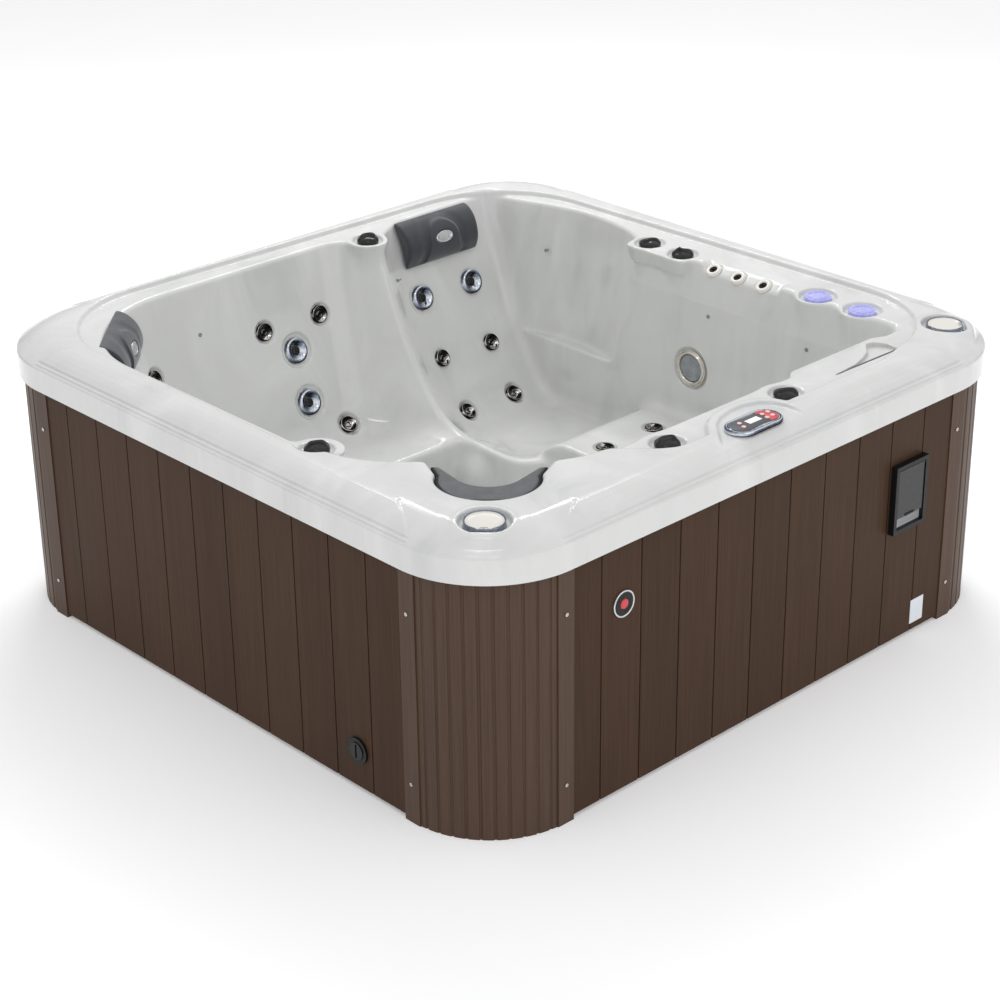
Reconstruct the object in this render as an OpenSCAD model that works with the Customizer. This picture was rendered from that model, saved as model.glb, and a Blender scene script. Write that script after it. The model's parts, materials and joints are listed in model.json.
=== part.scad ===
/* [Cabinet and rim] */
// overall length and width over the acrylic lip, mm
tub_w = 2130; // [2120:2:2150]
// height of the top of the rim above the floor, mm
rim_z = 838; // [834:1:844]
// set-back of the cabinet skirt behind the lip, mm
skirt_in = 24; // [22:1:27]
// corner radius of the cabinet skirt, mm
skirt_r = 265; // [255:1:275]
// thickness of the cabinet boards, mm
board_t = 18; // [15:0.5:18]
// spacing of the vertical board joints, mm
board_pitch = 141; // [130:1:141]

/* [Moulded shell] */
// acrylic and backing thickness, mm
skin = 8; // [6:0.5:9]
// height of the seats, mm
seat_z = 262; // [250:1:266]
// height of the footwell floor, mm
floor_z = 76; // [70:1:90]
// height of the leg rest of the lounger, mm
leg_z = 318; // [310:1:324]

/* [Fittings] */
// radius of the big spinning jet faces, mm
jet_r = 37; // [34:0.5:38]
// radius of the small jet faces, mm
jet_s = 27; // [24:0.5:28]
// radius of the valve knobs, mm
knob_r = 33.5; // [26:0.5:34]
// radius of the cup inserts, mm
cup_r = 49; // [44:0.5:50]
// radius of the filter lids, mm
lid_r = 43; // [40:0.5:44]
// radius of the underwater light ring, mm
lamp_r = 61; // [56:0.5:63]

/* [Hidden] */
$fn = 48;
hw = tub_w / 2;
sk = hw - skirt_in;
cc = sk - skirt_r;
lip_r = hw - cc;
deck_z = rim_z - 16;
strip_a = sk - 296;
strip_b = sk - 242;
inner = sk - board_t;
post = 45;
pf = inner - 5;

// heights at which the seat backs change slope
zt = deck_z;
zb = 590;
zl = 510;

// position of the back surfaces as a function of height
function mix(a, b, t) = a + (b - a) * t;
function ls_y(z) = z > zb ? mix(845, 905, (z - zb) / (zt - zb)) : mix(715, 845, (z - seat_z) / (zb - seat_z));
function ls_a(z) = 90 - (z > zb ? atan2(60, zt - zb) : atan2(130, zb - seat_z));
function lo_y(z) = z > zl ? mix(770, 897, (z - zl) / (zt - zl)) : mix(600, 770, (z - 215) / (zl - 215));
function lo_a(z) = 90 - (z > zl ? atan2(127, zt - zl) : atan2(170, zl - 215));

// valve knobs on the deck: x, y, rest turn
knobs = [[235, 842, 20], [834, 194, 10], [832, 54, -35], [221, -876, 0], [-240, -874, 10], [-891, -267, 35]];
// filter lids
lids = [[844, -471], [846, -635]];
// cup wells
cups = [[-895, -893], [888, -895]];
// big jets: x, height, seat (0 bench back, 1 lounger back)
big = [[-81, 541, 0], [-86, 387, 0], [426, 586, 1], [640, 585, 1]];
// small jets on the backs
small = [[-181, 622, 0], [38, 621, 0], [22, 291, 0], [-620, 598, 0],
         [424, 404, 1], [637, 400, 1], [434, 241.5, 1], [642, 242, 1]];
// calf jets in the leg rest: x, y
calf = [[431, -9], [643, -13]];
// neck jets on the sloped facet: y
neck = [-85, -182, -282];
// lamp in the side wall: y, z
lamp = [-38, 482];
// keypad centre and half sizes
kp = [-16, -968];
kz = 830;
btn = [[-57, -955], [-65, -977], [29, -957], [51, -957], [45, -979], [23, -979]];
// suction covers in the footwell: x, y, z, turn about Z
suck = [[-460, -120, 150, 0], [-460, 120, 150, 0], [-150, -440, 150, 90]];
drain = [-566, 121];
vent = [487, 628, 364, 570];

// ---------- helpers ----------
module ring_x(r1, r2, h) difference() { cylinder(r = r1, h = h); translate([0, 0, -1]) cylinder(r = r2, h = h + 2); }
module rrect(x0, x1, y0, y1, r) {
  translate([x0 + r, y0]) square([x1 - x0 - 2 * r, y1 - y0]);
  translate([x0, y0 + r]) square([x1 - x0, y1 - y0 - 2 * r]);
  for (x = [x0 + r, x1 - r]) for (y = [y0 + r, y1 - r]) translate([x, y]) circle(r = r);
}
// profile [y, z] drawn along X
module along_x(x0, x1, pts) translate([x0, 0, 0]) rotate([90, 0, 90]) linear_extrude(x1 - x0) polygon(pts);
// profile [x, z] drawn along Y
module along_y(y0, y1, pts) translate([0, y1, 0]) rotate([90, 0, 0]) linear_extrude(y1 - y0) polygon(pts);
// put a fitting on the back of the bench (0) or of the lounger (1)
module on_back(x, z, s) translate([x, s == 0 ? ls_y(z) : lo_y(z), z]) rotate([s == 0 ? ls_a(z) : lo_a(z), 0, 0]) children();
module all_big() for (j = big) on_back(j[0], j[1], j[2]) children();
module all_small() {
  for (j = small) on_back(j[0], j[1], j[2]) children();
  for (j = calf) translate([j[0], j[1], leg_z]) children();
}
module on_facet(y) translate([819.6, y, 805]) rotate([0, -29.65, 0]) children();
module on_side(x, y, z) translate([x, y, z]) rotate([0, -90, 0]) children();
module corner4() for (k = [0 : 3]) rotate([0, 0, 90 * k]) children();

// ---------- moulded shell ----------
module rim_band() {
  o = [[0, 725], [0, rim_z - 43], [6, rim_z - 35], [18, rim_z - 29], [42, rim_z - 10], [65, rim_z], [105, rim_z], [111, deck_z], [150, deck_z],
       [150, deck_z - skin], [105, deck_z - skin], [99, rim_z - skin], [68, rim_z - skin], [46, rim_z - 17], [22, rim_z - 37], [skin, rim_z - 49], [skin, 725]];
  corner4() {
    along_y(-cc, cc, [for (p = o) [hw - p[0], p[1]]]);
    translate([cc, cc, 0]) rotate_extrude(angle = 90) polygon([for (p = o) [lip_r - p[0], p[1]]]);
  }
}
// outline of the opening, grown by e
module opening(e) {
  difference() {
    union() {
      difference() {
        rrect(-905 - e, 815 + e, -805 - e, 905 + e, 90 + e);
        // chamfered corners behind the two corner seats
        translate([-795, 795]) rotate(45) translate([-400, e]) square([800, 400]);
        translate([-670, -670]) rotate(45) translate([-400, -400]) square([400 - e, 800]);
        // right rear of the opening is drawn by the big arc below
        translate([327 - e, 249]) square([700, 800]);
      }
      translate([327 - e, 240]) square([453 + e, 657 + e]);
      intersection() { translate([400, 495]) circle(r = 502 + e); translate([399, 249 - e]) square([600, 648 + 2 * e]); }
      notch(e);
    }
    // narrow the opening beside the front left knob
    translate([-950, -345 + e]) square([120 - e, 175 - 2 * e]);
    // top of the roll between bench and lounger
    translate([200 + e, 800 + e]) square([127 - 2 * e, 200]);
  }
}
// rounded notch for the front left cushion, open towards the water
module notch(e) rotate(225) {
  translate([1018, 0]) circle(r = 134 + e);
  polygon([[1018, -126 - e], [1018, 126 + e], [870, 181 + e], [870, -181 - e]]);
}
// water side of the shell for e = 0, outside of it for e = skin
module hollow(e) {
  t = 860;
  // bench, corner seats and the front seat
  difference() { intersection() {
    linear_extrude(t) opening(e);
    along_x(-960, 340, [[-805 - e, t], [-805 - e, zt], [-760 - e, zb], [-650 - e, seat_z - e], [715 + e, seat_z - e], [845 + e, zb], [905 + e, zt], [905 + e, t]]);
    along_y(-960, 960, [[-905 - e, t], [-905 - e, zt], [-850 - e, zb], [-725 - e, seat_z - e], [327.5 + e, seat_z - e], [327.5 + e, t]]);
    rotate([0, 0, 135]) along_y(-1300, 1300, [[1124 + e, t], [1124 + e, zt], [997 + e, zl], [847 + e, seat_z - e], [-1100, seat_z - e], [-1100, t]]);
    rotate([0, 0, 225]) along_y(-1300, 1300, [[948 + e, t], [948 + e, zt], [900 + e, zl], [800 + e, seat_z - e], [-1400, seat_z - e], [-1400, t]]);
  } roll(e, t); }
  // round notch for the front left cushion
  translate([0, 0, 690 - e]) linear_extrude(t - 690 + e) notch(e);
  // lounger: back, hip and leg rest
  intersection() {
    linear_extrude(t) opening(e);
    lounge(327 - e, 960, e, t);
    union() {
      along_y(-960, 960, [[200, 150], [770 + e, 150], [770 + e, leg_z], [785 + e, 700], [815 + e, zt], [815 + e, t], [200, t]]);
      intersection() {
        translate([400, 495, 405 - e]) cylinder(r1 = 428 + e, r2 = 507 + e, h = t - 405 + e);
        translate([399, 249 - e, 0]) cube([600, 700, 900]);
      }
    }
  }
  // sloped facet with the neck jets
  along_y(-352 - e, -45 + e, [[770, 776 - e], [785 + e, 785 - e], [850 + e, deck_z - e / 3], [850 + e, t], [770, t]]);
  // footwell
  translate([0, 0, floor_z - e]) linear_extrude(320 - floor_z) {
    rrect(-460 - e, 250 + e, -440 - e, 430 + e, 80 + e);
    rrect(-460 - e, 327 + e, -440 - e, 150 + e, 80 + e);
  }
}
// roll between the bench and the lounger
module roll(e, t) intersection() {
  linear_extrude(t) polygon([[250 + e, 430 + e], [200 + e, 800], [200 + e, 1000], [400, 1000], [400, 430 + e]]);
  along_x(150, 400, [[430 + e, 0], [430 + e, seat_z - e], [568 + e, 338 - e / 2], [676 + e, 488 - e / 2], [750 + e, 636 - e / 2], [800 + e, zt], [800 + e, t], [1000, t], [1000, 0]]);
}
module lounge(x0, x1, e, t) along_x(x0, x1, [[897 + e, t], [897 + e, zt], [770 + e, zl], [600 + e, 215 - e / 2], [530 + e, 200 - e], [235 - e, 200 - e], [128 - e, leg_z - e], [-640 - e, leg_z - e], [-805 - e, zt], [-805 - e, t]]);
// solid pieces that stand in the opening and carry the fittings of the deck
module ledges() {
  for (k = knobs) translate([k[0], k[1], deck_z - 26]) cylinder(r = 54, h = 26);
  for (l = lids) translate([l[0], l[1], 690]) cylinder(r = 68, h = deck_z - 690);
  translate([782, 0, deck_z - 26]) cube([60, 249, 26]);
  translate([380, -890, deck_z - 20]) cube([320, 130, 20]);
}
module whole_shell() {
  difference() {
    union() {
      rim_band();
      translate([0, 0, deck_z - skin]) linear_extrude(skin) difference() { rrect(-hw + 149, hw - 149, -hw + 149, hw - 149, lip_r - 149); opening(0); }
      intersection() { hollow(skin); translate([-1000, -1000, 0]) cube([2000, 2000, deck_z]); }
      ledges();
      for (c = cups) { translate([c[0], c[1], 796]) cylinder(r = 84, h = deck_z + 10 - 796); translate([c[0], c[1], 740]) cylinder(r = cup_r + 9, h = 70); }
      translate([kp[0] - 152, -1052, kz - 18]) cube([304, 140, 18]);
      all_big() translate([0, 0, -22]) cylinder(r = jet_r + 14, h = 21);
      all_small() translate([0, 0, -20]) cylinder(r = jet_s + 12, h = 19);
      for (y = neck) on_facet(y) translate([0, 0, -16]) cylinder(r = 36, h = 15);
      on_side(776.4, lamp[0], lamp[1]) translate([0, 0, -26]) cylinder(r = lamp_r + 10, h = 25);
    }
    difference() {
      hollow(0);
      ledges();
      translate([296, 392, 150]) sphere(r = 72);
    }
    // pockets and bores
    for (k = knobs) translate([k[0], k[1], deck_z - 12]) { cylinder(r = knob_r + 9.5, h = 40); translate([0, 0, -20]) cylinder(r = 12, h = 40); }
    for (l = lids) translate([l[0], l[1], deck_z - 14]) { cylinder(r = lid_r + 10, h = 40); translate([0, 0, -20]) cylinder(r = lid_r - 5, h = 40); translate([0, 0, -200]) cylinder(r = lid_r + 0.4, h = 188); }
    for (c = cups) translate([c[0], c[1], 0]) { translate([0, 0, deck_z]) cylinder(r = 70, h = 60); translate([0, 0, 748]) cylinder(r = cup_r + 0.5, h = 100); }
    translate([kp[0] - 145, -1070, kz]) cube([290, 153, 40]);
    translate([kp[0] - 70, kp[1] - 28, kz - 40]) cube([140, 56, 60]);
    translate([400, -886, deck_z - 8]) cube([290, 100, 40]);
    all_big() { translate([0, 0, -12]) cylinder(r = jet_r + 5, h = 40); translate([0, 0, -40]) cylinder(r = 28.5, h = 60); }
    all_small() { translate([0, 0, -10]) cylinder(r = jet_s + 4, h = 40); translate([0, 0, -40]) cylinder(r = 20.5, h = 60); }
    for (y = neck) on_facet(y) { translate([0, 0, -6]) cylinder(r = 28, h = 30); translate([0, 0, -40]) cylinder(r = 16.5, h = 60); }
    on_side(776.4, lamp[0], lamp[1]) { translate([0, 0, -8]) cylinder(r = lamp_r + 4, h = 40); translate([0, 0, -60]) cylinder(r = 46, h = 90); }
    lights(1) translate([0, 0, -30]) cylinder(r = 4, h = 60);
    for (s = suck) translate([s[0], s[1], s[2]]) rotate([0, 0, s[3]]) rotate([0, 90, 0]) translate([0, 0, -30]) cylinder(r = 26, h = 60);
    // peg holes of the three head cushions
    for (s = [-70, 70]) {
      translate([536.5 + s, lo_y(750), 750]) rotate([lo_a(750), 0, 0]) translate([0, 0, -30]) cylinder(r = 7, h = 60);
      rotate([0, 0, 45]) translate([s, 1124 - (zt - 750) * 0.407, 750]) rotate([lo_a(750), 0, 0]) translate([0, 0, -30]) cylinder(r = 7, h = 60);
      rotate([0, 0, 135]) translate([s * 0.6, 1130, 760]) rotate([90, 0, 0]) translate([0, 0, -60]) cylinder(r = 7, h = 90);
    }
  }
}
// the moulding is drawn as five pieces that meet face to face: rim and deck, walls, bench level, lounger and footwell
cut_z = 329.5;
rim_cut = 785.5;
foot_cut = 251;
side_cut = 336;
module slice(x0, x1, z0, z1) intersection() { whole_shell(); translate([x0, -1100, z0]) cube([x1 - x0, 2200, z1 - z0]); }
module under_rim() linear_extrude(rim_cut) difference() {
  rrect(-1030, 1030, -1030, 1030, 262);
  for (m = [0, 1]) mirror([m, 0]) translate([-894.5, -894]) circle(r = 74);
}
module foot_zone() difference() {
  translate([-1100, -1100, 0]) cube([1100 + side_cut, 1800, foot_cut]);
  translate([312, 150, 0]) cube([200, 500, foot_cut + 1]);
}
module lounger_zone() difference() {
  translate([-1100, -1100, 0]) cube([2200, 2200, cut_z]);
  translate([-1100, -1100, foot_cut]) cube([1100 + side_cut, 2200, 200]);
  translate([-1100, -1100, -1]) cube([1100 + side_cut, 1250, foot_cut + 2]);
  translate([-1100, 140, -1]) cube([1412, 960, foot_cut + 2]);
  translate([-1100, 650, -1]) cube([1100 + side_cut, 450, foot_cut + 2]);
}
module shell_rim() color("#E9EAEA") difference() { slice(-1100, 1100, cut_z, 1000); under_rim(); }
module shell() color("#E9EAEA") intersection() { slice(-1100, 1100, cut_z, 1000); under_rim(); }
module shell_pan() color("#E9EAEA") difference() { slice(-1100, side_cut, 0, cut_z); foot_zone(); lounger_zone(); }
module lounger_pan() color("#E9EAEA") intersection() { whole_shell(); lounger_zone(); }
module footwell_pan() color("#E9EAEA") intersection() { whole_shell(); foot_zone(); }
// small courtesy lights around the walls
module lights(m) {
  on_back(-414, 675, 0) children();
  on_back(182, 670, 0) children();
  translate([216, 682, 731]) rotate([0, 0, 7.7]) rotate([0, -90, 0]) children();
  translate([835, 655, 678]) rotate([0, 0, 20]) rotate([0, -80, 0]) children();
  translate([835, 260, 678]) rotate([0, 0, -28]) rotate([0, -80, 0]) children();
  on_side(783.5, -100, 668) children();
  on_side(783.5, -487, 670) children();
}

// ---------- cabinet ----------
module base_tray() color("#2E2F30") {
  linear_extrude(10) rrect(-inner + 5, inner - 5, -inner + 5, inner - 5, skirt_r - board_t - 5);
  for (x = [-300, 60]) for (y = [-280, 120]) translate([x, y, 10.2]) cube([160, 160, floor_z - skin - 10.5]);
}
module timber_frame() color("#B48A5A") corner4() {
  for (z = [10.2, 763]) translate([-795, -pf, z]) cube([1590, post, z < 100 ? post : 45]);
  for (x = [-795, -300, 255, 750]) translate([x, -pf, 10.4 + post]) cube([post, post, 762.8 - 10.4 - post]);
  rotate([0, 0, 45]) translate([-1262, -121, 10.2]) cube([post, 242, post]);
}
module board_panel(w) difference() {
  translate([-w, -sk, 12]) cube([2 * w, board_t, 710]);
  for (k = [0 : 9]) translate([-648 + board_pitch * k - 2, -sk - 1, 0]) cube([4, 5, 800]);
}
module front_panel() color("#4A352B") difference() {
  board_panel(strip_a - 0.6);
  translate([vent[0] + 14, -sk - 2, vent[2] + 14]) cube([vent[1] - vent[0] - 28, 40, vent[3] - vent[2] - 28]);
  translate([-572, -sk - 2, 548]) rotate([-90, 0, 0]) cylinder(r = 5.1, h = 14);
  for (x = [-690, 690]) for (z = [80, 660]) translate([x, -sk + 6, z]) rotate([-90, 0, 0]) cylinder(r = 2.5, h = 40);
}
module left_panel() color("#4A352B") difference() {
  rotate([0, 0, -90]) board_panel(strip_a - 0.6);
  translate([-sk - 2, drain[0], drain[1]]) rotate([0, 90, 0]) cylinder(r = 24, h = 40);
}
module back_panel() color("#4A352B") rotate([0, 0, 180]) board_panel(strip_a - 0.6);
module right_panel() color("#4A352B") rotate([0, 0, 90]) board_panel(strip_a - 0.6);

// fluted corner with its two screwed flat strips, drawn for the corner (+,+)
module corner_cover() difference() {
  union() {
    translate([cc, cc, 0]) rotate_extrude(angle = 90) translate([skirt_r - board_t, 0]) square([board_t, 722]);
    for (m = [0, 1]) mirror([m, -m, 0]) translate([strip_a, sk - board_t, 0]) cube([strip_b - strip_a, board_t + 3, 722]);
  }
  for (i = [0 : 9]) translate([cc, cc, 0]) rotate([0, 0, 9.4 + i * 7.91]) translate([skirt_r + 1.5, 0, -1]) cylinder(r = 4.5, h = 730);
  for (m = [0, 1]) mirror([m, -m, 0]) for (z = [113, 594]) translate([sk - 269, sk + 5, z]) rotate([90, 0, 0]) cylinder(r = 2.6, h = 40);
}
module corner_cover_front_left() color("#503A2F") rotate([0, 0, 180]) corner_cover();
module corner_cover_back_left() color("#503A2F") rotate([0, 0, 90]) corner_cover();
module corner_cover_back_right() color("#503A2F") corner_cover();
module corner_cover_front_right() color("#503A2F") rotate([0, 0, 270]) corner_cover();
module cabinet_screws() color("#C9C9C6") corner4() for (m = [0, 1]) mirror([m, -m, 0]) for (z = [113, 594])
  translate([sk - 269, sk + 3, z]) rotate([90, 0, 0]) difference() {
    union() { translate([0, 0, -2.4]) cylinder(r = 5, h = 2.4); cylinder(r = 2.55, h = 18); }
    for (a = [0, 90]) rotate([0, 0, a]) translate([-3.2, -0.5, -3]) cube([6.4, 1, 1.8]);
  }
module side_badge() color("#3A3A3C") translate([-572, -sk, 548]) rotate([90, 0, 0]) difference() {
  union() { cylinder(r = 37, h = 5); translate([0, 0, -11]) cylinder(r = 5, h = 12); }
  translate([0, 0, 3.6]) ring_x(33, 24, 5);
}
module data_plate() color("#E8E8E6") translate([616, -sk - 1.2, 33]) cube([58, 1.2, 75]);

// ---------- drain ----------
module drain_bezel() color("#1D1E20") translate([-sk, drain[0], drain[1]]) rotate([0, -90, 0]) {
  difference() {
    union() { cylinder(r = 37, h = 7); translate([0, 0, -46]) cylinder(r = 23.9, h = 47); }
    translate([0, 0, -60]) cylinder(r = 17, h = 70);
    translate([0, 0, 1]) cylinder(r = 25, h = 10);
  }
}
module drain_cap() color("#26272A") translate([-sk, drain[0], drain[1]]) rotate([0, -90, 0]) {
  difference() { translate([0, 0, 1.3]) cylinder(r = 24.6, h = 8); translate([-20, -3, 5.3]) cube([40, 6, 6]); }
  translate([0, 0, -20]) cylinder(r = 16.95, h = 22);
}

// ---------- ventilation cover ----------
vw = vent[1] - vent[0];
vh = vent[3] - vent[2];
module vent_frame() color("#232326") translate([vent[0], -sk, vent[2]]) difference() {
  union() {
    translate([0, -20, 0]) cube([vw, 20, vh]);
    translate([14.4, -1, 14.4]) cube([vw - 28.8, 17, vh - 28.8]);
  }
  translate([12, -21, 12]) cube([vw - 24, 20, vh - 24]);
  translate([19, -30, 19]) cube([vw - 38, 60, vh - 38]);
  // sockets of the hinge pin
  translate([8, -15, vh - 17]) rotate([0, 90, 0]) cylinder(r = 2.05, h = vw - 16);
}
module vent_flap() color("#2B2C30") translate([vent[0], -sk, vent[2]]) {
  translate([13.2, -17, 46]) cube([vw - 26.4, 4, vh - 63]);
  translate([8.3, -15, vh - 17]) rotate([0, 90, 0]) cylinder(r = 2, h = vw - 16.6);
  translate([13.2, -15, vh - 17]) rotate([0, 90, 0]) cylinder(r = 3.4, h = vw - 26.4);
  translate([vw / 2 - 18, -20.5, 46]) cube([36, 4.5, 5]);
}
module vent_mesh() color("#C8CAC9") translate([vent[0], -sk, vent[2]]) difference() {
  translate([12.2, -7, 12.2]) cube([vw - 24.4, 2.5, vh - 34]);
  for (z = [20 : 5 : vh - 40]) translate([20, -10, z]) cube([vw - 40, 9, 2.2]);
}

// ---------- control panel on the rim ----------
module stadium(l, w, h) { for (x = [-1, 1]) translate([x * (l - w) / 2, 0, 0]) cylinder(r = w / 2, h = h); translate([-(l - w) / 2, -w / 2, 0]) cube([l - w, w, h]); }
module at_kp(z) translate([kp[0], kp[1], kz + z]) children();
module keypad_bezel() color("#C9CCD0") difference() {
  union() { at_kp(0) stadium(184, 92, 12); at_kp(-20) translate([-69.5, -27.5, 0]) cube([139, 55, 21]); }
  at_kp(9) stadium(168, 76, 10);
  at_kp(-17) translate([-64, -23, 0]) cube([128, 46, 23]);
  for (b = btn) translate([b[0], b[1], kz]) cylinder(r = 6.35, h = 20);
}
module keypad_face() color("#58595C") difference() {
  at_kp(9) stadium(167.4, 75.4, 3.5);
  for (b = btn) translate([b[0], b[1], kz]) cylinder(r = 6.35, h = 20);
  at_kp(11) translate([-22, -8, 0]) cube([46, 22, 6]);
}
module display_window() color("#E8ECEB") at_kp(11) translate([-21.6, -7.6, 0]) cube([45.2, 21.2, 2.2]);
module button(i) color("#E9A7A2") translate([btn[i][0], btn[i][1], kz + 6.3]) cylinder(r = 6, h = 8);
module button_light() button(0);
module button_jets_1() button(1);
module button_mode() button(2);
module button_up() button(3);
module button_down() button(4);
module button_jets_2() button(5);

// ---------- valve knobs and lids ----------
module knob(i, tall = 0) color("#1B1B1D") translate([knobs[i][0], knobs[i][1], deck_z - 12]) rotate([0, 0, knobs[i][2]]) {
  translate([0, 0, 0.4]) cylinder(r = knob_r, h = 13);
  translate([0, 0, 13]) cylinder(r1 = knob_r, r2 = knob_r - 7, h = 8);
  translate([-knob_r - 0.5, -9, 4]) cube([2 * knob_r + 4, 18, 21 + tall]);
  translate([0, 0, -30]) cylinder(r = 9.95, h = 31);
}
module knob_1() knob(0);
module knob_2() knob(1);
module knob_3() knob(2, 9);
module knob_4() knob(3);
module knob_5() knob(4);
module knob_6() knob(5);
module valve_set() for (k = knobs) translate([k[0], k[1], deck_z - 12]) difference() {
  union() { translate([0, 0, -24.5]) cylinder(r = 11.7, h = 24.3); translate([0, 0, -66]) cylinder(r = 18, h = 42); }
  translate([0, 0, -40]) cylinder(r = 10, h = 60);
  translate([0, 0, -60]) cylinder(r = 13, h = 22);
}
module filter_lid(i) color("#9A8FE0") translate([lids[i][0], lids[i][1], deck_z - 14]) {
  translate([0, 0, 0.4]) cylinder(r = lid_r, h = 12.6);
  translate([0, 0, 12]) ring_x(lid_r - 8, lid_r - 14, 3.4);
  translate([0, 0, -14]) cylinder(r = lid_r - 8, h = 15);
  translate([0, 0, -62]) cylinder(r = 13.95, h = 60);
}
module filter_lid_1() filter_lid(0);
module filter_lid_2() filter_lid(1);
module filter_canisters() for (l = lids) translate([l[0], l[1], 0]) difference() {
  translate([0, 0, 520]) cylinder(r = lid_r, h = deck_z - 26.2 - 520);
  translate([0, 0, 526]) cylinder(r = lid_r - 4, h = 400);
}
module cartridge(i) color("#F1F1EC") translate([lids[i][0], lids[i][1], 532]) difference() {
  union() {
    cylinder(r = 34, h = 8); translate([0, 0, 8]) cylinder(r = 30, h = 214); translate([0, 0, 222]) cylinder(r = 34, h = 8);
    for (a = [0 : 15 : 359]) rotate([0, 0, a]) translate([28, -1, 7.8]) cube([5, 2, 214.4]);
  }
  translate([0, 0, -1]) cylinder(r = 14, h = 240);
}
module filter_cartridge_1() cartridge(0);
module filter_cartridge_2() cartridge(1);

// ---------- jets ----------
module big_face(i) color("#B9BEC2") on_back(big[i][0], big[i][1], big[i][2]) difference() {
  union() {
    translate([0, 0, -11.6]) cylinder(r = jet_r, h = 8);
    translate([0, 0, -4]) ring_x(jet_r - 1, jet_r - 8, 4.5);
    for (a = [0 : 45 : 359]) rotate([0, 0, a]) translate([9, -1.2, -4.2]) cube([21, 2.4, 2.9]);
    translate([0, 0, -4]) cylinder(r = 12, h = 5);
    translate([0, 0, -44]) cylinder(r = 23.95, h = 34);
  }
  translate([3, 0, -60]) cylinder(r = 6, h = 80);
}
module big_jet_1() big_face(0);
module big_jet_2() big_face(1);
module big_jet_3() big_face(2);
module big_jet_4() big_face(3);
module small_jets() color("#3E4145") all_small() difference() {
  union() {
    translate([0, 0, -9.7]) cylinder(r = jet_s, h = 6.7);
    translate([0, 0, -4]) ring_x(jet_s, jet_s - 5, 5);
    translate([0, 0, -4]) cylinder(r = 10, h = 4);
    translate([0, 0, -30]) cylinder(r = 15.95, h = 21);
  }
  translate([0, 0, -50]) cylinder(r = 5, h = 80);
}
module neck_jets() color("#EDEDED") for (y = neck) on_facet(y) difference() {
  union() { translate([0, 0, -5.7]) cylinder(r = 24, h = 9); translate([0, 0, -30]) cylinder(r = 12.5, h = 25); }
  translate([0, 0, -40]) cylinder(r = 6, h = 60);
  translate([0, 0, -1]) cylinder(r = 13, h = 30);
}
module jet_set() {
  all_big() difference() {
    union() { translate([0, 0, -70]) cylinder(r = 28.2, h = 58); translate([0, 0, -36]) cylinder(r = 37, h = 12 ); }
    translate([0, 0, -60]) cylinder(r = 24, h = 60);
    translate([0, 0, -80]) cylinder(r = 12, h = 60);
  }
  all_small() difference() {
    union() { translate([0, 0, -52]) cylinder(r = 20.2, h = 42); translate([0, 0, -34]) cylinder(r = 27, h = 12 ); }
    translate([0, 0, -46]) cylinder(r = 16, h = 60);
    translate([0, 0, -60]) cylinder(r = 8, h = 60);
  }
  for (y = neck) on_facet(y) difference() {
    translate([0, 0, -46]) cylinder(r = 16.2, h = 40);
    translate([0, 0, -42]) cylinder(r = 12.6, h = 60);
    translate([0, 0, -60]) cylinder(r = 6, h = 60);
  }
}
module light_ring() color("#C9CCD0") on_side(776.4, lamp[0], lamp[1]) difference() {
  union() { translate([0, 0, -7.7]) cylinder(r = lamp_r, h = 12); translate([0, 0, -52]) cylinder(r = 45.7, h = 45); }
  translate([0, 0, -5]) cylinder(r = 44, h = 30);
  translate([0, 0, -48]) cylinder(r = 40, h = 60);
}
module light_lens() color("#B7BCC0") on_side(776.4, lamp[0], lamp[1]) translate([0, 0, -4.7]) cylinder(r = 43.6, h = 6);
module corner_lights() color("#E6EEF2") lights(1) { translate([0, 0, 0.2]) cylinder(r = 6, h = 2); translate([0, 0, -13]) cylinder(r = 3.7, h = 14); }

// ---------- cushions, drawn plain ----------
module cushion_flat() {
  along_x(-146, 146, [[-28.5, -66], [27.5, 71], [22, 80], [2, 82], [-22, 66], [-36, 28], [-47, -20], [-43, -60]]);
  for (s = [-70, 70]) translate([s, 0, 0]) rotate([lo_a(750), 0, 0]) translate([0, 0, -24]) cylinder(r = 6.6, h = 30);
}
module cushion_back() color("#3B3D41") translate([536.5, lo_y(750), 750]) cushion_flat();
module cushion_left() color("#3B3D41") rotate([0, 0, 45]) translate([0, 1124 - (zt - 750) * 0.407, 750]) cushion_flat();
module cushion_front() color("#3B3D41") {
  rotate([0, 0, 225]) translate([0, 0, 694]) linear_extrude(132) difference() {
    union() { translate([1013, 0]) circle(r = 127.5); polygon([[1013, -120], [1013, 120], [932, 146], [932, -146]]); }
    translate([955, 0]) circle(r = 99);
    polygon([[1000, -84], [1000, 84], [915, 140.7], [915, -140.7]]);
    translate([800, -200]) square([132, 400]);
  }
  for (s = [-42, 42]) rotate([0, 0, 135]) translate([s, 1120, 760]) rotate([-90, 0, 0]) cylinder(r = 6.6, h = 40);
}

// ---------- cup inserts ----------
module cup_insert(i) color("#E6E9EA") translate([cups[i][0], cups[i][1], deck_z]) difference() {
  union() { translate([0, 0, 0.3]) cylinder(r = cup_r + 9, h = 5); translate([0, 0, -66]) cylinder(r = cup_r - 0.5, h = 67); }
  translate([0, 0, -62]) cylinder(r = cup_r - 4, h = 80);
}
module cup_insert_left() cup_insert(0);
module cup_insert_right() cup_insert(1);

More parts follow.
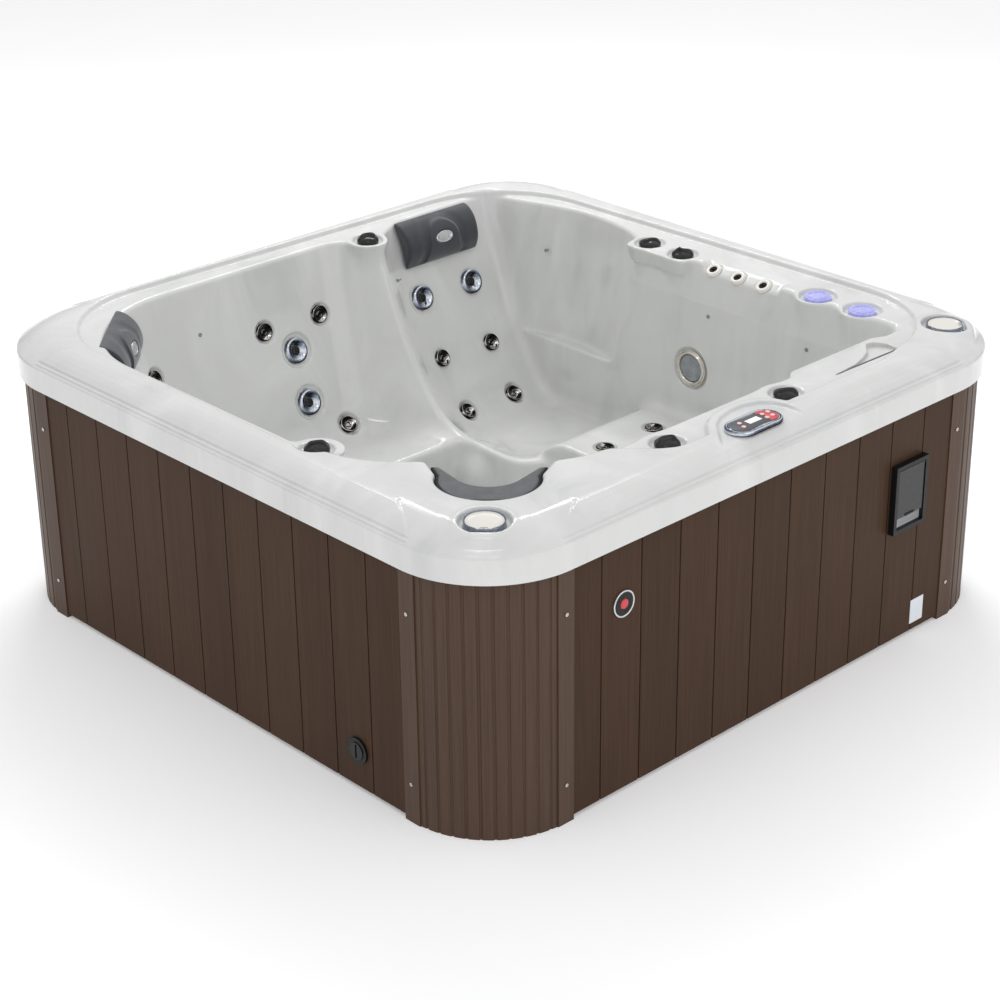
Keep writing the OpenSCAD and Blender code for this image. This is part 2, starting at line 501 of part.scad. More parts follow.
// ---------- machinery under the shell ----------
module pump(l) {
  translate([0, 0, 22]) cube([230, 130, 8]);
  for (x = [15, 200]) translate([x, 20, 10.2]) cube([15, 90, 12]);
  translate([0, 65, 95]) rotate([0, 90, 0]) cylinder(r = 66, h = l);
  for (i = [0 : 7]) translate([20 + i * 22, 65, 95]) rotate([0, 90, 0]) cylinder(r = 70, h = 5);
  translate([l - 1, 65, 95]) rotate([0, 90, 0]) cylinder(r = 82, h = 62);
  translate([l + 60, 65, 95]) rotate([0, 90, 0]) cylinder(r = 30, h = 42);
  translate([l + 28, 65, 170]) cylinder(r = 27, h = 40);
}
module pumps() color("#33363A") { translate([-690, -900, 0]) pump(200); translate([-250, -900, 0]) pump(200); }
module heater_tube() translate([70, -640, 100]) {
  rotate([0, 90, 0]) cylinder(r = 32, h = 280);
  for (x = [0, 262]) translate([x, 0, 0]) rotate([0, 90, 0]) cylinder(r = 40, h = 18);
  translate([110, -14, 20]) cube([60, 28, 40]);
  for (x = [40, 220]) translate([x, -12, -89.8]) cube([16, 24, 64]);
}
module control_box() color("#D5D7D8") translate([330, -960, 10.2]) {
  cube([300, 150, 190]);
  translate([-5, -5, 189]) cube([310, 160, 16]);
  for (i = [0 : 3]) translate([40 + i * 60, 149, 40]) rotate([-90, 0, 0]) cylinder(r = 12, h = 20);
}
module elbow_run(p, r) {
  for (i = [0 : len(p) - 2]) {
    d = p[i + 1] - p[i];
    l = norm(d);
    translate(p[i]) rotate([0, acos(d[2] / l), atan2(d[1], d[0])]) cylinder(r = r, h = l);
    if (i > 0) translate(p[i]) sphere(r = r + 4);
  }
}
module plumbing() color("#E9EAEB") {
  heater_tube();
  valve_set();
  jet_set();
  filter_canisters();
  elbow_run([[-sk + 48, drain[0], drain[1]], [-560, drain[0], drain[1]], [-560, -120, drain[1]]], 16);
  elbow_run([[-386, -835, 95], [-340, -835, 95]], 24);
  elbow_run([[-462, -835, 211], [-462, -835, 240], [-462, -720, 240], [-700, -720, 240]], 20);
  elbow_run([[53, -835, 95], [90, -835, 95], [90, -706, 95]], 20);
  elbow_run([[351, -640, 100], [420, -640, 100], [420, -640, 200]], 20);
}
module suction_covers() color("#ECEDED") for (s = suck) translate([s[0], s[1], s[2]]) rotate([0, 0, s[3]]) rotate([0, 90, 0]) {
  difference() {
    union() { translate([0, 0, 0.3]) cylinder(r = 55, h = 8); translate([0, 0, -50]) cylinder(r = 25.6, h = 52); }
    translate([0, 0, -60]) cylinder(r = 19, h = 63);
    for (a = [0 : 30 : 359]) rotate([0, 0, a]) translate([30, 0, -1]) cylinder(r = 5, h = 20);
    for (a = [0 : 60 : 359]) rotate([0, 0, a]) translate([12, 0, -1]) cylinder(r = 4, h = 20);
  }
}

shell_rim();
shell();
shell_pan();
lounger_pan();
footwell_pan();
base_tray();
timber_frame();
front_panel();
left_panel();
back_panel();
right_panel();
corner_cover_front_left();
corner_cover_back_left();
corner_cover_back_right();
corner_cover_front_right();
cabinet_screws();
side_badge();
data_plate();
drain_bezel();
drain_cap();
vent_frame();
vent_flap();
vent_mesh();
keypad_bezel();
keypad_face();
display_window();
button_light();
button_jets_1();
button_mode();
button_up();
button_down();
button_jets_2();
knob_1();
knob_2();
knob_3();
knob_4();
knob_5();
knob_6();
filter_lid_1();
filter_lid_2();
filter_cartridge_1();
filter_cartridge_2();
big_jet_1();
big_jet_2();
big_jet_3();
big_jet_4();
small_jets();
neck_jets();
light_ring();
light_lens();
corner_lights();
cushion_back();
cushion_left();
cushion_front();
cup_insert_left();
cup_insert_right();
pumps();
control_box();
plumbing();
suction_covers();
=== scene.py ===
import bpy, json, math
import numpy as np
from mathutils import Matrix, Vector

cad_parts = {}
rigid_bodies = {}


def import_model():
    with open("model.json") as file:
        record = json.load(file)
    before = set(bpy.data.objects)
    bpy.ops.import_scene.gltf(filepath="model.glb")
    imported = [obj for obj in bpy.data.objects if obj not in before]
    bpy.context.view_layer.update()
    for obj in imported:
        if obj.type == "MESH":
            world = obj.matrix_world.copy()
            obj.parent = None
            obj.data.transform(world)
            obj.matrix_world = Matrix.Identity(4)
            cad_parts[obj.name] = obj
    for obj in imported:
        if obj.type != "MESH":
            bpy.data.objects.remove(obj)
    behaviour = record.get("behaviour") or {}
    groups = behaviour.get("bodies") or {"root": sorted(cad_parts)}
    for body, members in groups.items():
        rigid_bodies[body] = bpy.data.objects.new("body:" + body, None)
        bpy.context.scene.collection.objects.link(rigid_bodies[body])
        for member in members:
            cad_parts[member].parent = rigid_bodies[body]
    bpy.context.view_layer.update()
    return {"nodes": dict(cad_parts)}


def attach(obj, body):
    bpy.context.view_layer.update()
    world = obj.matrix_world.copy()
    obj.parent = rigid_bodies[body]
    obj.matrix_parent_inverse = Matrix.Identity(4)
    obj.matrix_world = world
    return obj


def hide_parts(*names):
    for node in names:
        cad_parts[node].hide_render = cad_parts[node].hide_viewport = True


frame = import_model()
nodes = frame["nodes"]
scene = bpy.context.scene
f4 = np.float32
rng = np.random.RandomState(7)

# ------------------------------------------------------------------ camera, floor, light
cam = bpy.data.objects.new("camera", bpy.data.cameras.new("camera"))
scene.collection.objects.link(cam)
cam.data.lens, cam.data.sensor_width, cam.data.clip_end = 85.88, 36.0, 100.0
right, up, fwd = Vector((0.7242, -0.6895, -0.011)), Vector((0.3061, 0.3071, 0.9011)), Vector((0.618, 0.6559, -0.4335))
cam.matrix_world = Matrix(((right.x, up.x, -fwd.x, -4.33675), (right.y, up.y, -fwd.y, -4.6001), (right.z, up.z, -fwd.z, 3.3218), (0, 0, 0, 1)))
scene.camera = cam
scene.view_settings.view_transform = "Standard"
scene.view_settings.look = "None"

world = bpy.data.worlds.new("studio")
scene.world = world
world.use_nodes = True
wt = world.node_tree
wco = wt.nodes.new("ShaderNodeTexCoord")
wsep = wt.nodes.new("ShaderNodeSeparateXYZ")
wramp = wt.nodes.new("ShaderNodeValToRGB")
wt.links.new(wco.outputs["Generated"], wsep.inputs[0])
wt.links.new(wsep.outputs[2], wramp.inputs["Fac"])
wt.links.new(wramp.outputs["Color"], wt.nodes["Background"].inputs[0])
wt.nodes["Background"].inputs[1].default_value = 0.92
for k, (pos, c) in enumerate(((0.0, 0.50), (0.22, 0.66), (0.55, 0.86), (1.0, 0.92))):
    e = wramp.color_ramp.elements[k] if k < 2 else wramp.color_ramp.elements.new(pos)
    e.position, e.color = pos, (c, c, c * 1.01, 1)


def area(name, loc, target, size, power, size_y=None):
    d = bpy.data.lights.new(name, "AREA")
    d.shape = "RECTANGLE"
    d.size, d.size_y, d.energy = size, size_y or size, power
    o = bpy.data.objects.new(name, d)
    scene.collection.objects.link(o)
    o.location = loc
    o.rotation_mode = "QUATERNION"
    o.rotation_quaternion = (Vector(target) - Vector(loc)).to_track_quat("-Z", "Y")
    return o


area("top_soft", (2.2, 2.5, 4.0), (0.1, 0.1, 0.5), 3.0, 100, 2.2).visible_glossy = False
area("left_soft", (-4.4, 0.8, 2.2), (-0.6, 0, 0.4), 4.0, 6, 2.8)
area("front_soft", (0.6, -4.6, 2.0), (0, -0.6, 0.4), 4.2, 25, 2.8)
area("corner_soft", (-3.6, -3.9, 1.3), (-0.6, -0.6, 0.6), 1.8, 15, 1.4).visible_glossy = False
area("strip", (-1.4, -1.2, 4.6), (0, -0.2, 0.7), 1.6, 9, 0.3)
area("strip_back", (2.3, 2.6, 4.0), (0.1, 0.1, 0.5), 2.4, 20, 0.36)

# ------------------------------------------------------------------ small maths helpers (millimetres)
def smax(a, b, k):
    h = np.maximum(k - np.abs(a - b), 0) / k
    return np.maximum(a, b) + h * h * (k * 0.25)


def smin(a, b, k):
    h = np.maximum(k - np.abs(a - b), 0) / k
    return np.minimum(a, b) - h * h * (k * 0.25)


def step01(t):
    t = np.clip(t, 0, 1)
    return t * t * (3 - 2 * t)


def rr2(x, y, x0, x1, y0, y1, r):
    qx = np.abs(x - (x0 + x1) / 2) - ((x1 - x0) / 2 - r)
    qy = np.abs(y - (y0 + y1) / 2) - ((y1 - y0) / 2 - r)
    return np.hypot(np.maximum(qx, 0), np.maximum(qy, 0)) + np.minimum(np.maximum(qx, qy), 0) - r


def poly2(x, y, pts):
    d = np.full_like(x, 1e12)
    s = np.ones_like(x)
    for i in range(len(pts)):
        ax, ay = pts[i]
        bx, by = pts[i - 1]
        ex, ey = bx - ax, by - ay
        wx, wy = x - ax, y - ay
        t = np.clip((wx * ex + wy * ey) / (ex * ex + ey * ey), 0, 1)
        d = np.minimum(d, (wx - ex * t) ** 2 + (wy - ey * t) ** 2)
        c1, c2, c3 = y >= ay, y < by, ex * wy > ey * wx
        s = np.where((c1 & c2 & c3) | (~c1 & ~c2 & ~c3), -s, s)
    return s * np.sqrt(d)


def arc(cx, cy, r, a0, a1, n):
    return [(cx + r * math.cos(math.radians(a0 + (a1 - a0) * i / n)), cy + r * math.sin(math.radians(a0 + (a1 - a0) * i / n))) for i in range(n + 1)]


# ------------------------------------------------------------------ the same places as the frame
DECK, RIM = 822.0, 838.0
KNOBS = [(235, 842, 20, 0, 66), (834, 194, 10, 0, 64), (832, 54, -35, 9, 64), (221, -876, 0, 0, 70), (-240, -874, 10, 0, 74), (-891, -267, 35, 0, 76)]
LIDS = [(844, -471), (846, -635)]
CUPS = [(-895, -893), (888, -895)]
BIG = [(-81, 541, 0), (-86, 387, 0), (426, 586, 1), (640, 585, 1)]
SMALL = [(-181, 622, 0), (38, 621, 0), (22, 291, 0), (-620, 598, 0), (424, 404, 1), (637, 400, 1), (434, 241.5, 1), (642, 242, 1)]
CALF = [(431, -9), (643, -13)]
NECK = [-85, -182, -282]
LAMP = (-38, 482)


def mixf(a, b, t):
    return a + (b - a) * t


def ls_y(z):
    return mixf(845, 905, (z - 590) / 232) if z > 590 else mixf(715, 845, (z - 262) / 328)


def lo_y(z):
    return mixf(770, 897, (z - 510) / 312) if z > 510 else mixf(600, 770, (z - 215) / 295)


def ls_a(z):
    return 90 - math.degrees(math.atan2(60, 232) if z > 590 else math.atan2(130, 328))


def lo_a(z):
    return 90 - math.degrees(math.atan2(127, 312) if z > 510 else math.atan2(170, 295))


def R(ax, deg):
    return Matrix.Rotation(math.radians(deg), 4, ax)


def T(x, y, z):
    return Matrix.Translation((x, y, z))


def on_back(x, z, s):
    return T(x, (lo_y if s else ls_y)(z), z) @ R("X", (lo_a if s else ls_a)(z))


def on_facet(y):
    return T(819.6, y, 805) @ R("Y", -29.65)


def on_side(x, y, z):
    return T(x, y, z) @ R("Y", -90)


SMALL_M = [on_back(*j) for j in SMALL] + [T(x, y, 318) for x, y in CALF]
BIG_M = [on_back(*j) for j in BIG]
LIGHT_M = [on_back(-414, 675, 0), on_back(182, 670, 0), T(216, 682, 731) @ R("Z", 7.7) @ R("Y", -90),
           T(835, 655, 678) @ R("Z", 20) @ R("Y", -80), T(835, 260, 678) @ R("Z", -28) @ R("Y", -80), on_side(783.5, -100, 668), on_side(783.5, -487, 670)]

# ------------------------------------------------------------------ moulded shell as one distance field, negative in the plastic
P_SIDE = [(0, -900), (0, 791), (1.5, 794.5), (9, 796.5), (10.5, 801.5), (19, 803.5), (21.5, 809), (36, 818.5), (52, 826.5), (70, 833.3), (86, 837.2), (98, 838), (1500, 838), (1500, -900)]
P_CORNER = [(0, -900), (0, 790)] + [(4 + 118 * k / 18, 796 + 42 * (1 - (1 - k / 18) ** 1.9)) for k in range(19)] + [(1500, 838), (1500, -900)]
RING = (arc(-575, 625, 350, 180, 90, 9) + arc(600, 620, 325, 90, 0, 9) + arc(640, -583, 315, 0, -78, 8) + [(560, -927)] + arc(-600, -590, 340, -90, -180, 9))
PAD = [(-204, -1056), (-183, -1013), (-156, -982), (-127, -950), (-88, -909), (-50, -886), (5, -874), (54, -874), (96, -890), (119, -913), (130, -945), (134, -999), (133, -1056)]
SHELF = [(409, -893), (547, -896), (655, -898), (678, -889), (684, -856), (676, -833), (664, -815), (646, -808), (625, -826), (600, -848), (560, -866), (509, -883)]


def local(M, x, y, z):
    """Coordinates in the frame of a fitting."""
    I = np.array(M.inverted(), float)
    return (I[0, 0] * x + I[0, 1] * y + I[0, 2] * z + I[0, 3], I[1, 0] * x + I[1, 1] * y + I[1, 2] * z + I[1, 3], I[2, 0] * x + I[2, 1] * y + I[2, 2] * z + I[2, 3])


def near(x, y, z, c, r):
    return np.nonzero((np.abs(x - c[0]) < r) & (np.abs(y - c[1]) < r) & (np.abs(z - c[2]) < r))[0]


def dish(S, x, y, z, M, r, depth, flare, cap=44.0, k=5.0):
    """Sinks a flat-bottomed round pocket with a flared wall."""
    c = M.translation
    i = near(x, y, z, c, r + flare + 60)
    if len(i) == 0:
        return
    u, v, w = local(M, x[i], y[i], z[i])
    rad = np.hypot(u, v)
    slope = flare / (depth + 4.0)
    wall = (rad - r - slope * (w + depth)) / math.sqrt(1 + slope * slope)
    a = smax(smax(wall, -(w + depth), k), w - cap, 2)
    S[i] = smax(S[i], -a, 4.0)


def rim_in(x, y):
    """Distance inward from the plan outline of the rim."""
    return -np.where(x * y < 0, rr2(x, y, -1065, 1065, -1065, 1065, 315), rr2(x, y, -1065, 1065, -1065, 1065, 289))


def shell_base(x, y, z):
    x, y, z = [np.asarray(v, f4) for v in (x, y, z)]
    ax_, ay_ = np.abs(x), np.abs(y)
    dl = rim_in(x, y)
    S = smax(-dl, z - RIM, 4)
    i = np.nonzero((z > 700) & (dl < 170))[0]
    if len(i):
        xi, yi, zi, di = x[i], y[i], z[i], dl[i]
        side = ax_[i] > ay_[i]
        s = np.where(side, yi, xi)
        near_end = ((side & (xi < 0)) | (~side & (yi < 0))) & (s < 0)
        t = np.clip((di - 8) / 88, 0, 1)
        se = np.where(near_end, 792 - 128 * t ** 1.3, 760 - 46 * t ** 1.5)
        m = step01((se - np.abs(s)) / 16 + 0.5)
        a = poly2(di, zi, P_CORNER)
        b = poly2(di, zi, P_SIDE)
        S[i] = a + (b - a) * m
    # inner deck, 16 mm below the rim, with the raised arch behind the keypad
    u = (-x - y) * 0.70711
    top = z > 740
    j = np.nonzero(top & (dl > 40))[0]
    if len(j):
        xj, yj, zj = x[j], y[j], z[j]
        ring = poly2(xj, yj, RING)
        arch = poly2(xj, yj, PAD) - 34
        ring = smax(ring, -arch, 8)
        ring = smax(ring, (u[j] - 845) * 0.8, 40)
        cut = smax((ring - 0.42 * (zj - DECK)) * 0.92, DECK - zj, 7)
        # rounded swell of the deck beside the front left cushion
        S[j] = smax(S[j], -cut, 7)
    # hollow of the bench side
    back = smax((y - (715 + (z - 262) * 0.39634)) * 0.9297, (y - (845 + (z - 590) * 0.25862)) * 0.9681, 12)
    left = smax((-x - (725 + (z - 262) * 0.3811)) * 0.9345, (-x - (850 + (z - 590) * 0.23707)) * 0.973, 12)
    fr = smax((-y - (650 + (z - 262) * 0.33537)) * 0.9481, (-y - (760 + (z - 590) * 0.19397)) * 0.9817, 12)
    w = (y - x) * 0.70711
    dg = smax((w - (847 + (z - 262) * 0.60484)) * 0.8557, (w - (997 + (z - 510) * 0.40705)) * 0.9262, 20)
    dn = smax((u - (790 + (z - 262) * 0.40323)) * 0.9275, (u - (886 + (z - 510) * 0.13)) * 0.9884, 20)
    A = smax(smax(back, dg, 110), left, 110)
    A = smax(smax(A, fr, 130), dn, 90)
    A = smax(A, 262 - z, 80)
    A = smax(A, x - 327.5, 22)
    # notch for the front left cushion
    nt = np.abs(x - y) * 0.70711
    notch = np.minimum(np.hypot(u - 1018, nt) - 134, smax(smax((nt - 126 - (1018 - u) * 0.37) * 0.938, u - 1018, 2), 860 - u, 2))
    A = smin(A, smax(notch, 690 - z, 14), 10)
    # roll between bench and lounger
    over = (y - 430) * 0.4825 - (z - 262) * 0.8759
    over = smax(over, (y - 568) * 0.8106 - (z - 338) * 0.5914, 60)
    over = smax(over, (y - 676) * 0.8944 - (z - 488) * 0.4472, 60)
    over = smax(over, (y - 750) * 0.9657 - (z - 636) * 0.2596, 60)
    # hollow of the lounger
    lb = smax((y - (600 + (z - 215) * 0.57627)) * 0.8664, (y - (770 + (z - 510) * 0.40705)) * 0.9262, 12)
    lf = (-y - (640 + (z - 318) * 0.32738)) * 0.9503
    rise = (128 - y) * 0.7407 - (z - 318) * 0.6717
    lipx = (338 - x) * 0.6222 - (z - 200) * 0.7828
    hip = smax(smax(lb, 200 - z, 90), smax(rise, lipx, 70), 80)
    leg = smax(smax(lb, 318 - z, 60), lf, 120)
    L = smin(hip, leg, 40)
    rw = np.minimum((x - (770 + (z - 318) * 0.03927)), (x - (785 + (z - 700) * 0.2459)) * 0.971)
    rw = np.where(z < 318, x - 770, rw)
    cr = np.hypot(x - 400, y - 495)
    cone = smax(smax((cr - (428 + (z - 405) * 0.17363)) * 0.985, 405 - z, 14), 249 - y, 90)
    rw = smin(rw, np.maximum(cone, 399 - x), np.clip(7 + (z - 420) * 0.3, 7, 90))
    L = smax(L, rw, 46)
    L = smax(L, over * 0.8 - (x - 243) * 0.6, 46)
    L = smax(L, 250 - x, 8)
    # the bench wall runs into the roll
    B = smax(A, over * 0.74 - (250 - x) * 0.67, 50)
    H = smin(B, L, 24)
    # facet with the neck jets
    fc = (x - 785) * 0.4947 - (z - 785) * 0.8691
    fc = smax(smax(fc, np.abs(y + 198.5) - 153.5, 18), 740 - x, 8)
    H = smin(H, fc, 8)
    # footwell
    fw = smin(rr2(x, y, -460, 250, -440, 430, 80), rr2(x, y, -460, 327, -440, 150, 80), 70)
    fw = fw - (z - 76) * 0.045
    fw = smax(smax(fw, 76 - z, 60), z - 336, 4)
    H = smin(H, fw, 26)
    # solid ledges that carry the knobs and the lids
    S2 = -H
    for k in KNOBS:
        i = near(x, y, z, (k[0], k[1], DECK), 190)
        if len(i):
            rad = np.hypot(x[i] - k[0], y[i] - k[1])
            lump = smax(rad - (k[4] - (DECK - z[i]) * 0.42), z[i] - DECK, 4)
            lump = smax(lump, (DECK - 120) - z[i], 10)
            S2[i] = smin(S2[i], lump, 26)
    for k in LIDS:
        i = near(x, y, z, (k[0], k[1], DECK - 60), 240)
        if len(i):
            rad = np.hypot(x[i] - k[0], y[i] - k[1])
            lump = smax(rad - (68 - (DECK - z[i]) * 0.16), z[i] - DECK, 4)
            lump = smax(lump, 640 - z[i], 10)
            S2[i] = smin(S2[i], lump, 22)
    # knob 2 and 3 share one ledge
    i = near(x, y, z, (826, 124, DECK), 200)
    if len(i):
        lump = smax(rr2(x[i], y[i], 772, 900, 2, 249, 20) + (DECK - z[i]) * 0.3, z[i] - DECK, 4)
        S2[i] = smin(S2[i], smax(lump, 770 - z[i], 10), 20)
    # shelf at the right of the front deck
    i = near(x, y, z, (500, -800, DECK), 260)
    if len(i):
        lump = smax(rr2(x[i], y[i], 320, 720, -930, -782, 40) + (DECK - z[i]) * 0.9, z[i] - DECK, 4)
        S2[i] = smin(S2[i], lump, 30)
    S = smax(S, S2, 15)
    # swelling in the corner of the footwell
    i = near(x, y, z, (296, 392, 150), 150)
    if len(i):
        ball = np.sqrt((x[i] - 290) ** 2 + (y[i] - 386) ** 2 + (z[i] - 146) ** 2) - 86
        S[i] = smin(S[i], smax(ball, z[i] - 236, 10), 26)
    # cup recesses in their round bosses
    for cx, cy in CUPS:
        i = near(x, y, z, (cx, cy, DECK), 170)
        if len(i):
            rad = np.hypot(x[i] - cx, y[i] - cy)
            out = ((x[i] - cx) * (1 if cx > 0 else -1) - (y[i] - cy)) * 0.70711
            boss = smax(smax(rad - (78 + (834 - z[i]) * 1.4), z[i] - 834, 10), 760 - z[i], 4)
            boss = smax(boss, 34 - dl[i], 10)
            s = smin(S[i], boss, 16)
            ring = smax(rad - (62 + (z[i] - 822) * 0.3), out - 58, 5)
            s = smax(s, -smax(ring, 822.5 - z[i], 7), 6)
            s = smax(s, -smax(rad - 50.5, 752 - z[i], 4), 3)
            S[i] = s
    # pad of the keypad
    i = near(x, y, z, (-35, -965, 829), 250)
    if len(i):
        pad = poly2(x[i], y[i], PAD)
        pad = smax((pad - 0.5 * (z[i] - 829.5)) * 0.9, 829.5 - z[i], 6)
        # the pad keeps clear of the band along the lip
        pad = smax(pad, -(y[i] + 1052), 3)
        S[i] = smax(S[i], -pad, 5)
    # shelf recess
    i = near(x, y, z, (520, -820, DECK), 230)
    if len(i):
        fl = 812.5 - np.clip((y[i] + 893) * 0.05, 0, 5)
        sh = smax(poly2(x[i], y[i], SHELF), fl - z[i], 2.5)
        S[i] = smax(S[i], -sh, 2.5)
    return S


def seated(M):
    """Moves and tilts a fitting onto the best plane through the surface around it."""
    P = [M @ Vector((27 * math.cos(a * math.pi / 6), 27 * math.sin(a * math.pi / 6), 0)) for a in range(12)]
    n = (M.to_3x3() @ Vector((0, 0, 1))).normalized()
    lo, hi = np.full(12, -22.0), np.full(12, 60.0)
    P0, N = np.array([tuple(q) for q in P]), np.array(tuple(n))
    for _ in range(14):
        mid = (lo + hi) / 2
        q = P0 + mid[:, None] * N
        solid = shell_base(q[:, 0], q[:, 1], q[:, 2]) < 0
        lo, hi = np.where(solid, mid, lo), np.where(solid, hi, mid)
    h = (lo + hi) / 2
    a = np.arange(12) * math.pi / 6
    c = float(h.mean())
    gx, gy = float((h * np.cos(a)).sum() / 6 / 27), float((h * np.sin(a)).sum() / 6 / 27)
    c, gx, gy = min(max(c, -1.0), 34.0), min(max(gx, -0.45), 0.45), min(max(gy, -0.45), 0.45)
    t = Vector((-gx, -gy, 1)).normalized()
    return M @ T(0, 0, c) @ Vector((0, 0, 1)).rotation_difference(t).to_matrix().to_4x4()


SMALL_M = [seated(M) for M in SMALL_M]


def shell_field(x, y, z):
    x, y, z = [np.asarray(v, f4) for v in (x, y, z)]
    S = shell_base(x, y, z)
    # knob and lid pockets
    for k in KNOBS:
        dish(S, x, y, z, T(k[0], k[1], DECK), 42, 12, 11)
    for k in LIDS:
        dish(S, x, y, z, T(k[0], k[1], DECK), 51, 13.5, 10)
        # the well that the cartridge lifts out of
        i = np.nonzero((np.abs(x - k[0]) < 50) & (np.abs(y - k[1]) < 50) & (z > 640))[0]
        if len(i):
            a = smax(np.hypot(x[i] - k[0], y[i] - k[1]) - 38.4, 655 - z[i], 3)
            S[i] = smax(S[i], -a, 3)
    for M in BIG_M:
        dish(S, x, y, z, M, 52.0, 7.5, 6.5, 10.0, 4.5)
        dish(S, x, y, z, M, 41.6, 12, 1.2, 9.0, 3.0)
    for M in SMALL_M:
        dish(S, x, y, z, M, 34.5, 6.5, 4.5, 12.0, 3.5)
        dish(S, x, y, z, M, 29.8, 10, 1.0, 9.0, 3.0)
    for yy in NECK:
        dish(S, x, y, z, on_facet(yy), 27, 6, 4)
    dish(S, x, y, z, on_side(776.4, *LAMP), 65, 8, 6)
    return S


def grid_lines(cuts, lo, hi):
    """Grid lines whose spacing follows [(from, spacing), ...]."""
    out, v = [lo], lo
    while v < hi:
        step = [s for c, s in cuts if v >= c][-1]
        v = v + step
        out.append(v)
    return np.array(out, f4)


def nets(F, xs, ys, zs, blk=4):
    """Surface nets over a sparse set of blocks of a rectilinear grid. Gives points and quads."""
    def pad_to(a):
        n = (-(len(a) - 1)) % blk
        return np.concatenate([a, a[-1] + (a[-1] - a[-2]) * np.arange(1, n + 1)]).astype(f4)
    xs, ys, zs = pad_to(xs), pad_to(ys), pad_to(zs)
    def cent(a):
        return (a[:-1:blk] + a[blk::blk]) / 2, (a[blk::blk] - a[:-1:blk]) / 2
    (bx, hx), (by, hy), (bz, hz) = cent(xs), cent(ys), cent(zs)
    I, J, K = np.meshgrid(np.arange(len(bx)), np.arange(len(by)), np.arange(len(bz)), indexing="ij")
    I, J, K = I.ravel(), J.ravel(), K.ravel()
    d = F(bx[I], by[J], bz[K])
    rad = np.sqrt(hx[I] ** 2 + hy[J] ** 2 + hz[K] ** 2)
    ok = np.abs(d) < rad * 1.12 + 4
    I, J, K = I[ok], J[ok], K[ok]
    nx, ny, nz = len(xs), len(ys), len(zs)
    o = np.arange(blk + 1)
    shape = (len(I), blk + 1, blk + 1, blk + 1)
    gi = np.broadcast_to((I * blk)[:, None, None, None] + o[None, :, None, None], shape)
    gj = np.broadcast_to((J * blk)[:, None, None, None] + o[None, None, :, None], shape)
    gk = np.broadcast_to((K * blk)[:, None, None, None] + o[None, None, None, :], shape)
    vals = np.empty(shape, f4)
    for c in range(0, len(I), 12000):
        s = slice(c, c + 12000)
        vals[s] = F(xs[gi[s].ravel()], ys[gj[s].ravel()], zs[gk[s].ravel()]).reshape(vals[s].shape)
    vals[vals == 0] = 1e-6
    ins = vals < 0
    b = blk
    corner = [(i, j, k) for i in (0, 1) for j in (0, 1) for k in (0, 1)]
    cnt = sum(ins[:, i:i + b, j:j + b, k:k + b].astype(np.int8) for i, j, k in corner)
    a = np.nonzero((cnt > 0) & (cnt < 8))
    ci, cj, ck = I[a[0]] * b + a[1], J[a[0]] * b + a[2], K[a[0]] * b + a[3]
    cv = np.stack([vals[a[0], a[1] + i, a[2] + j, a[3] + k] for i, j, k in corner], 1)
    cp = np.stack([np.stack([xs[ci + i], ys[cj + j], zs[ck + k]], 1) for i, j, k in corner], 1)
    acc = np.zeros((len(ci), 3)); num = np.zeros(len(ci))
    for p in range(8):
        for q in range(p + 1, 8):
            if bin(p ^ q).count("1") != 1:
                continue
            hit = (cv[:, p] < 0) != (cv[:, q] < 0)
            t = cv[hit, p] / (cv[hit, p] - cv[hit, q])
            acc[hit] += cp[hit, p] + (cp[hit, q] - cp[hit, p]) * t[:, None]
            num[hit] += 1
    verts = acc / num[:, None]
    key = (ci.astype(np.int64) * ny + cj) * nz + ck
    order = np.argsort(key)
    skey = key[order]
    def find(i, j, k):
        q = (i.astype(np.int64) * ny + j) * nz + k
        p = np.clip(np.searchsorted(skey, q), 0, len(skey) - 1)
        return np.where(skey[p] == q, order[p], -1)
    quads = []
    for axis in range(3):
        e = [0, 0, 0]; e[axis] = 1
        v0 = ins[:, :b, :b, :b]
        v1 = ins[:, e[0]:e[0] + b, e[1]:e[1] + b, e[2]:e[2] + b]
        h = np.nonzero(v0 != v1)
        gi_, gj_, gk_ = I[h[0]] * b + h[1], J[h[0]] * b + h[2], K[h[0]] * b + h[3]
        u_, v_ = [(0, 1, 0), (0, 0, 1), (1, 0, 0)][axis], [(0, 0, 1), (1, 0, 0), (0, 1, 0)][axis]
        ring = []
        for su, sv in ((-1, -1), (0, -1), (0, 0), (-1, 0)):
            ring.append(find(gi_ + u_[0] * su + v_[0] * sv, gj_ + u_[1] * su + v_[1] * sv, gk_ + u_[2] * su + v_[2] * sv))
        q = np.stack(ring, 1)
        start_in = v0[h]
        q[~start_in] = q[~start_in][:, ::-1]
        quads.append(q[(q >= 0).all(1)])
    return verts, np.concatenate(quads)


def grad(F, v, e=0.6):
    g = np.stack([F(v[:, 0] + e, v[:, 1], v[:, 2]) - F(v[:, 0] - e, v[:, 1], v[:, 2]),
                  F(v[:, 0], v[:, 1] + e, v[:, 2]) - F(v[:, 0], v[:, 1] - e, v[:, 2]),
                  F(v[:, 0], v[:, 1], v[:, 2] + e) - F(v[:, 0], v[:, 1], v[:, 2] - e)], 1).astype(float) / (2 * e)
    return g


def snap(F, v, turns=2, cap=3.0, e=0.6):
    for _ in range(turns):
        g = grad(F, v, e)
        d = F(v[:, 0], v[:, 1], v[:, 2]).astype(float)
        s = g * (d / np.maximum((g * g).sum(1), 0.2))[:, None]
        n = np.linalg.norm(s, axis=1)
        v = v - s * np.minimum(1, cap / np.maximum(n, 1e-9))[:, None]
    return v


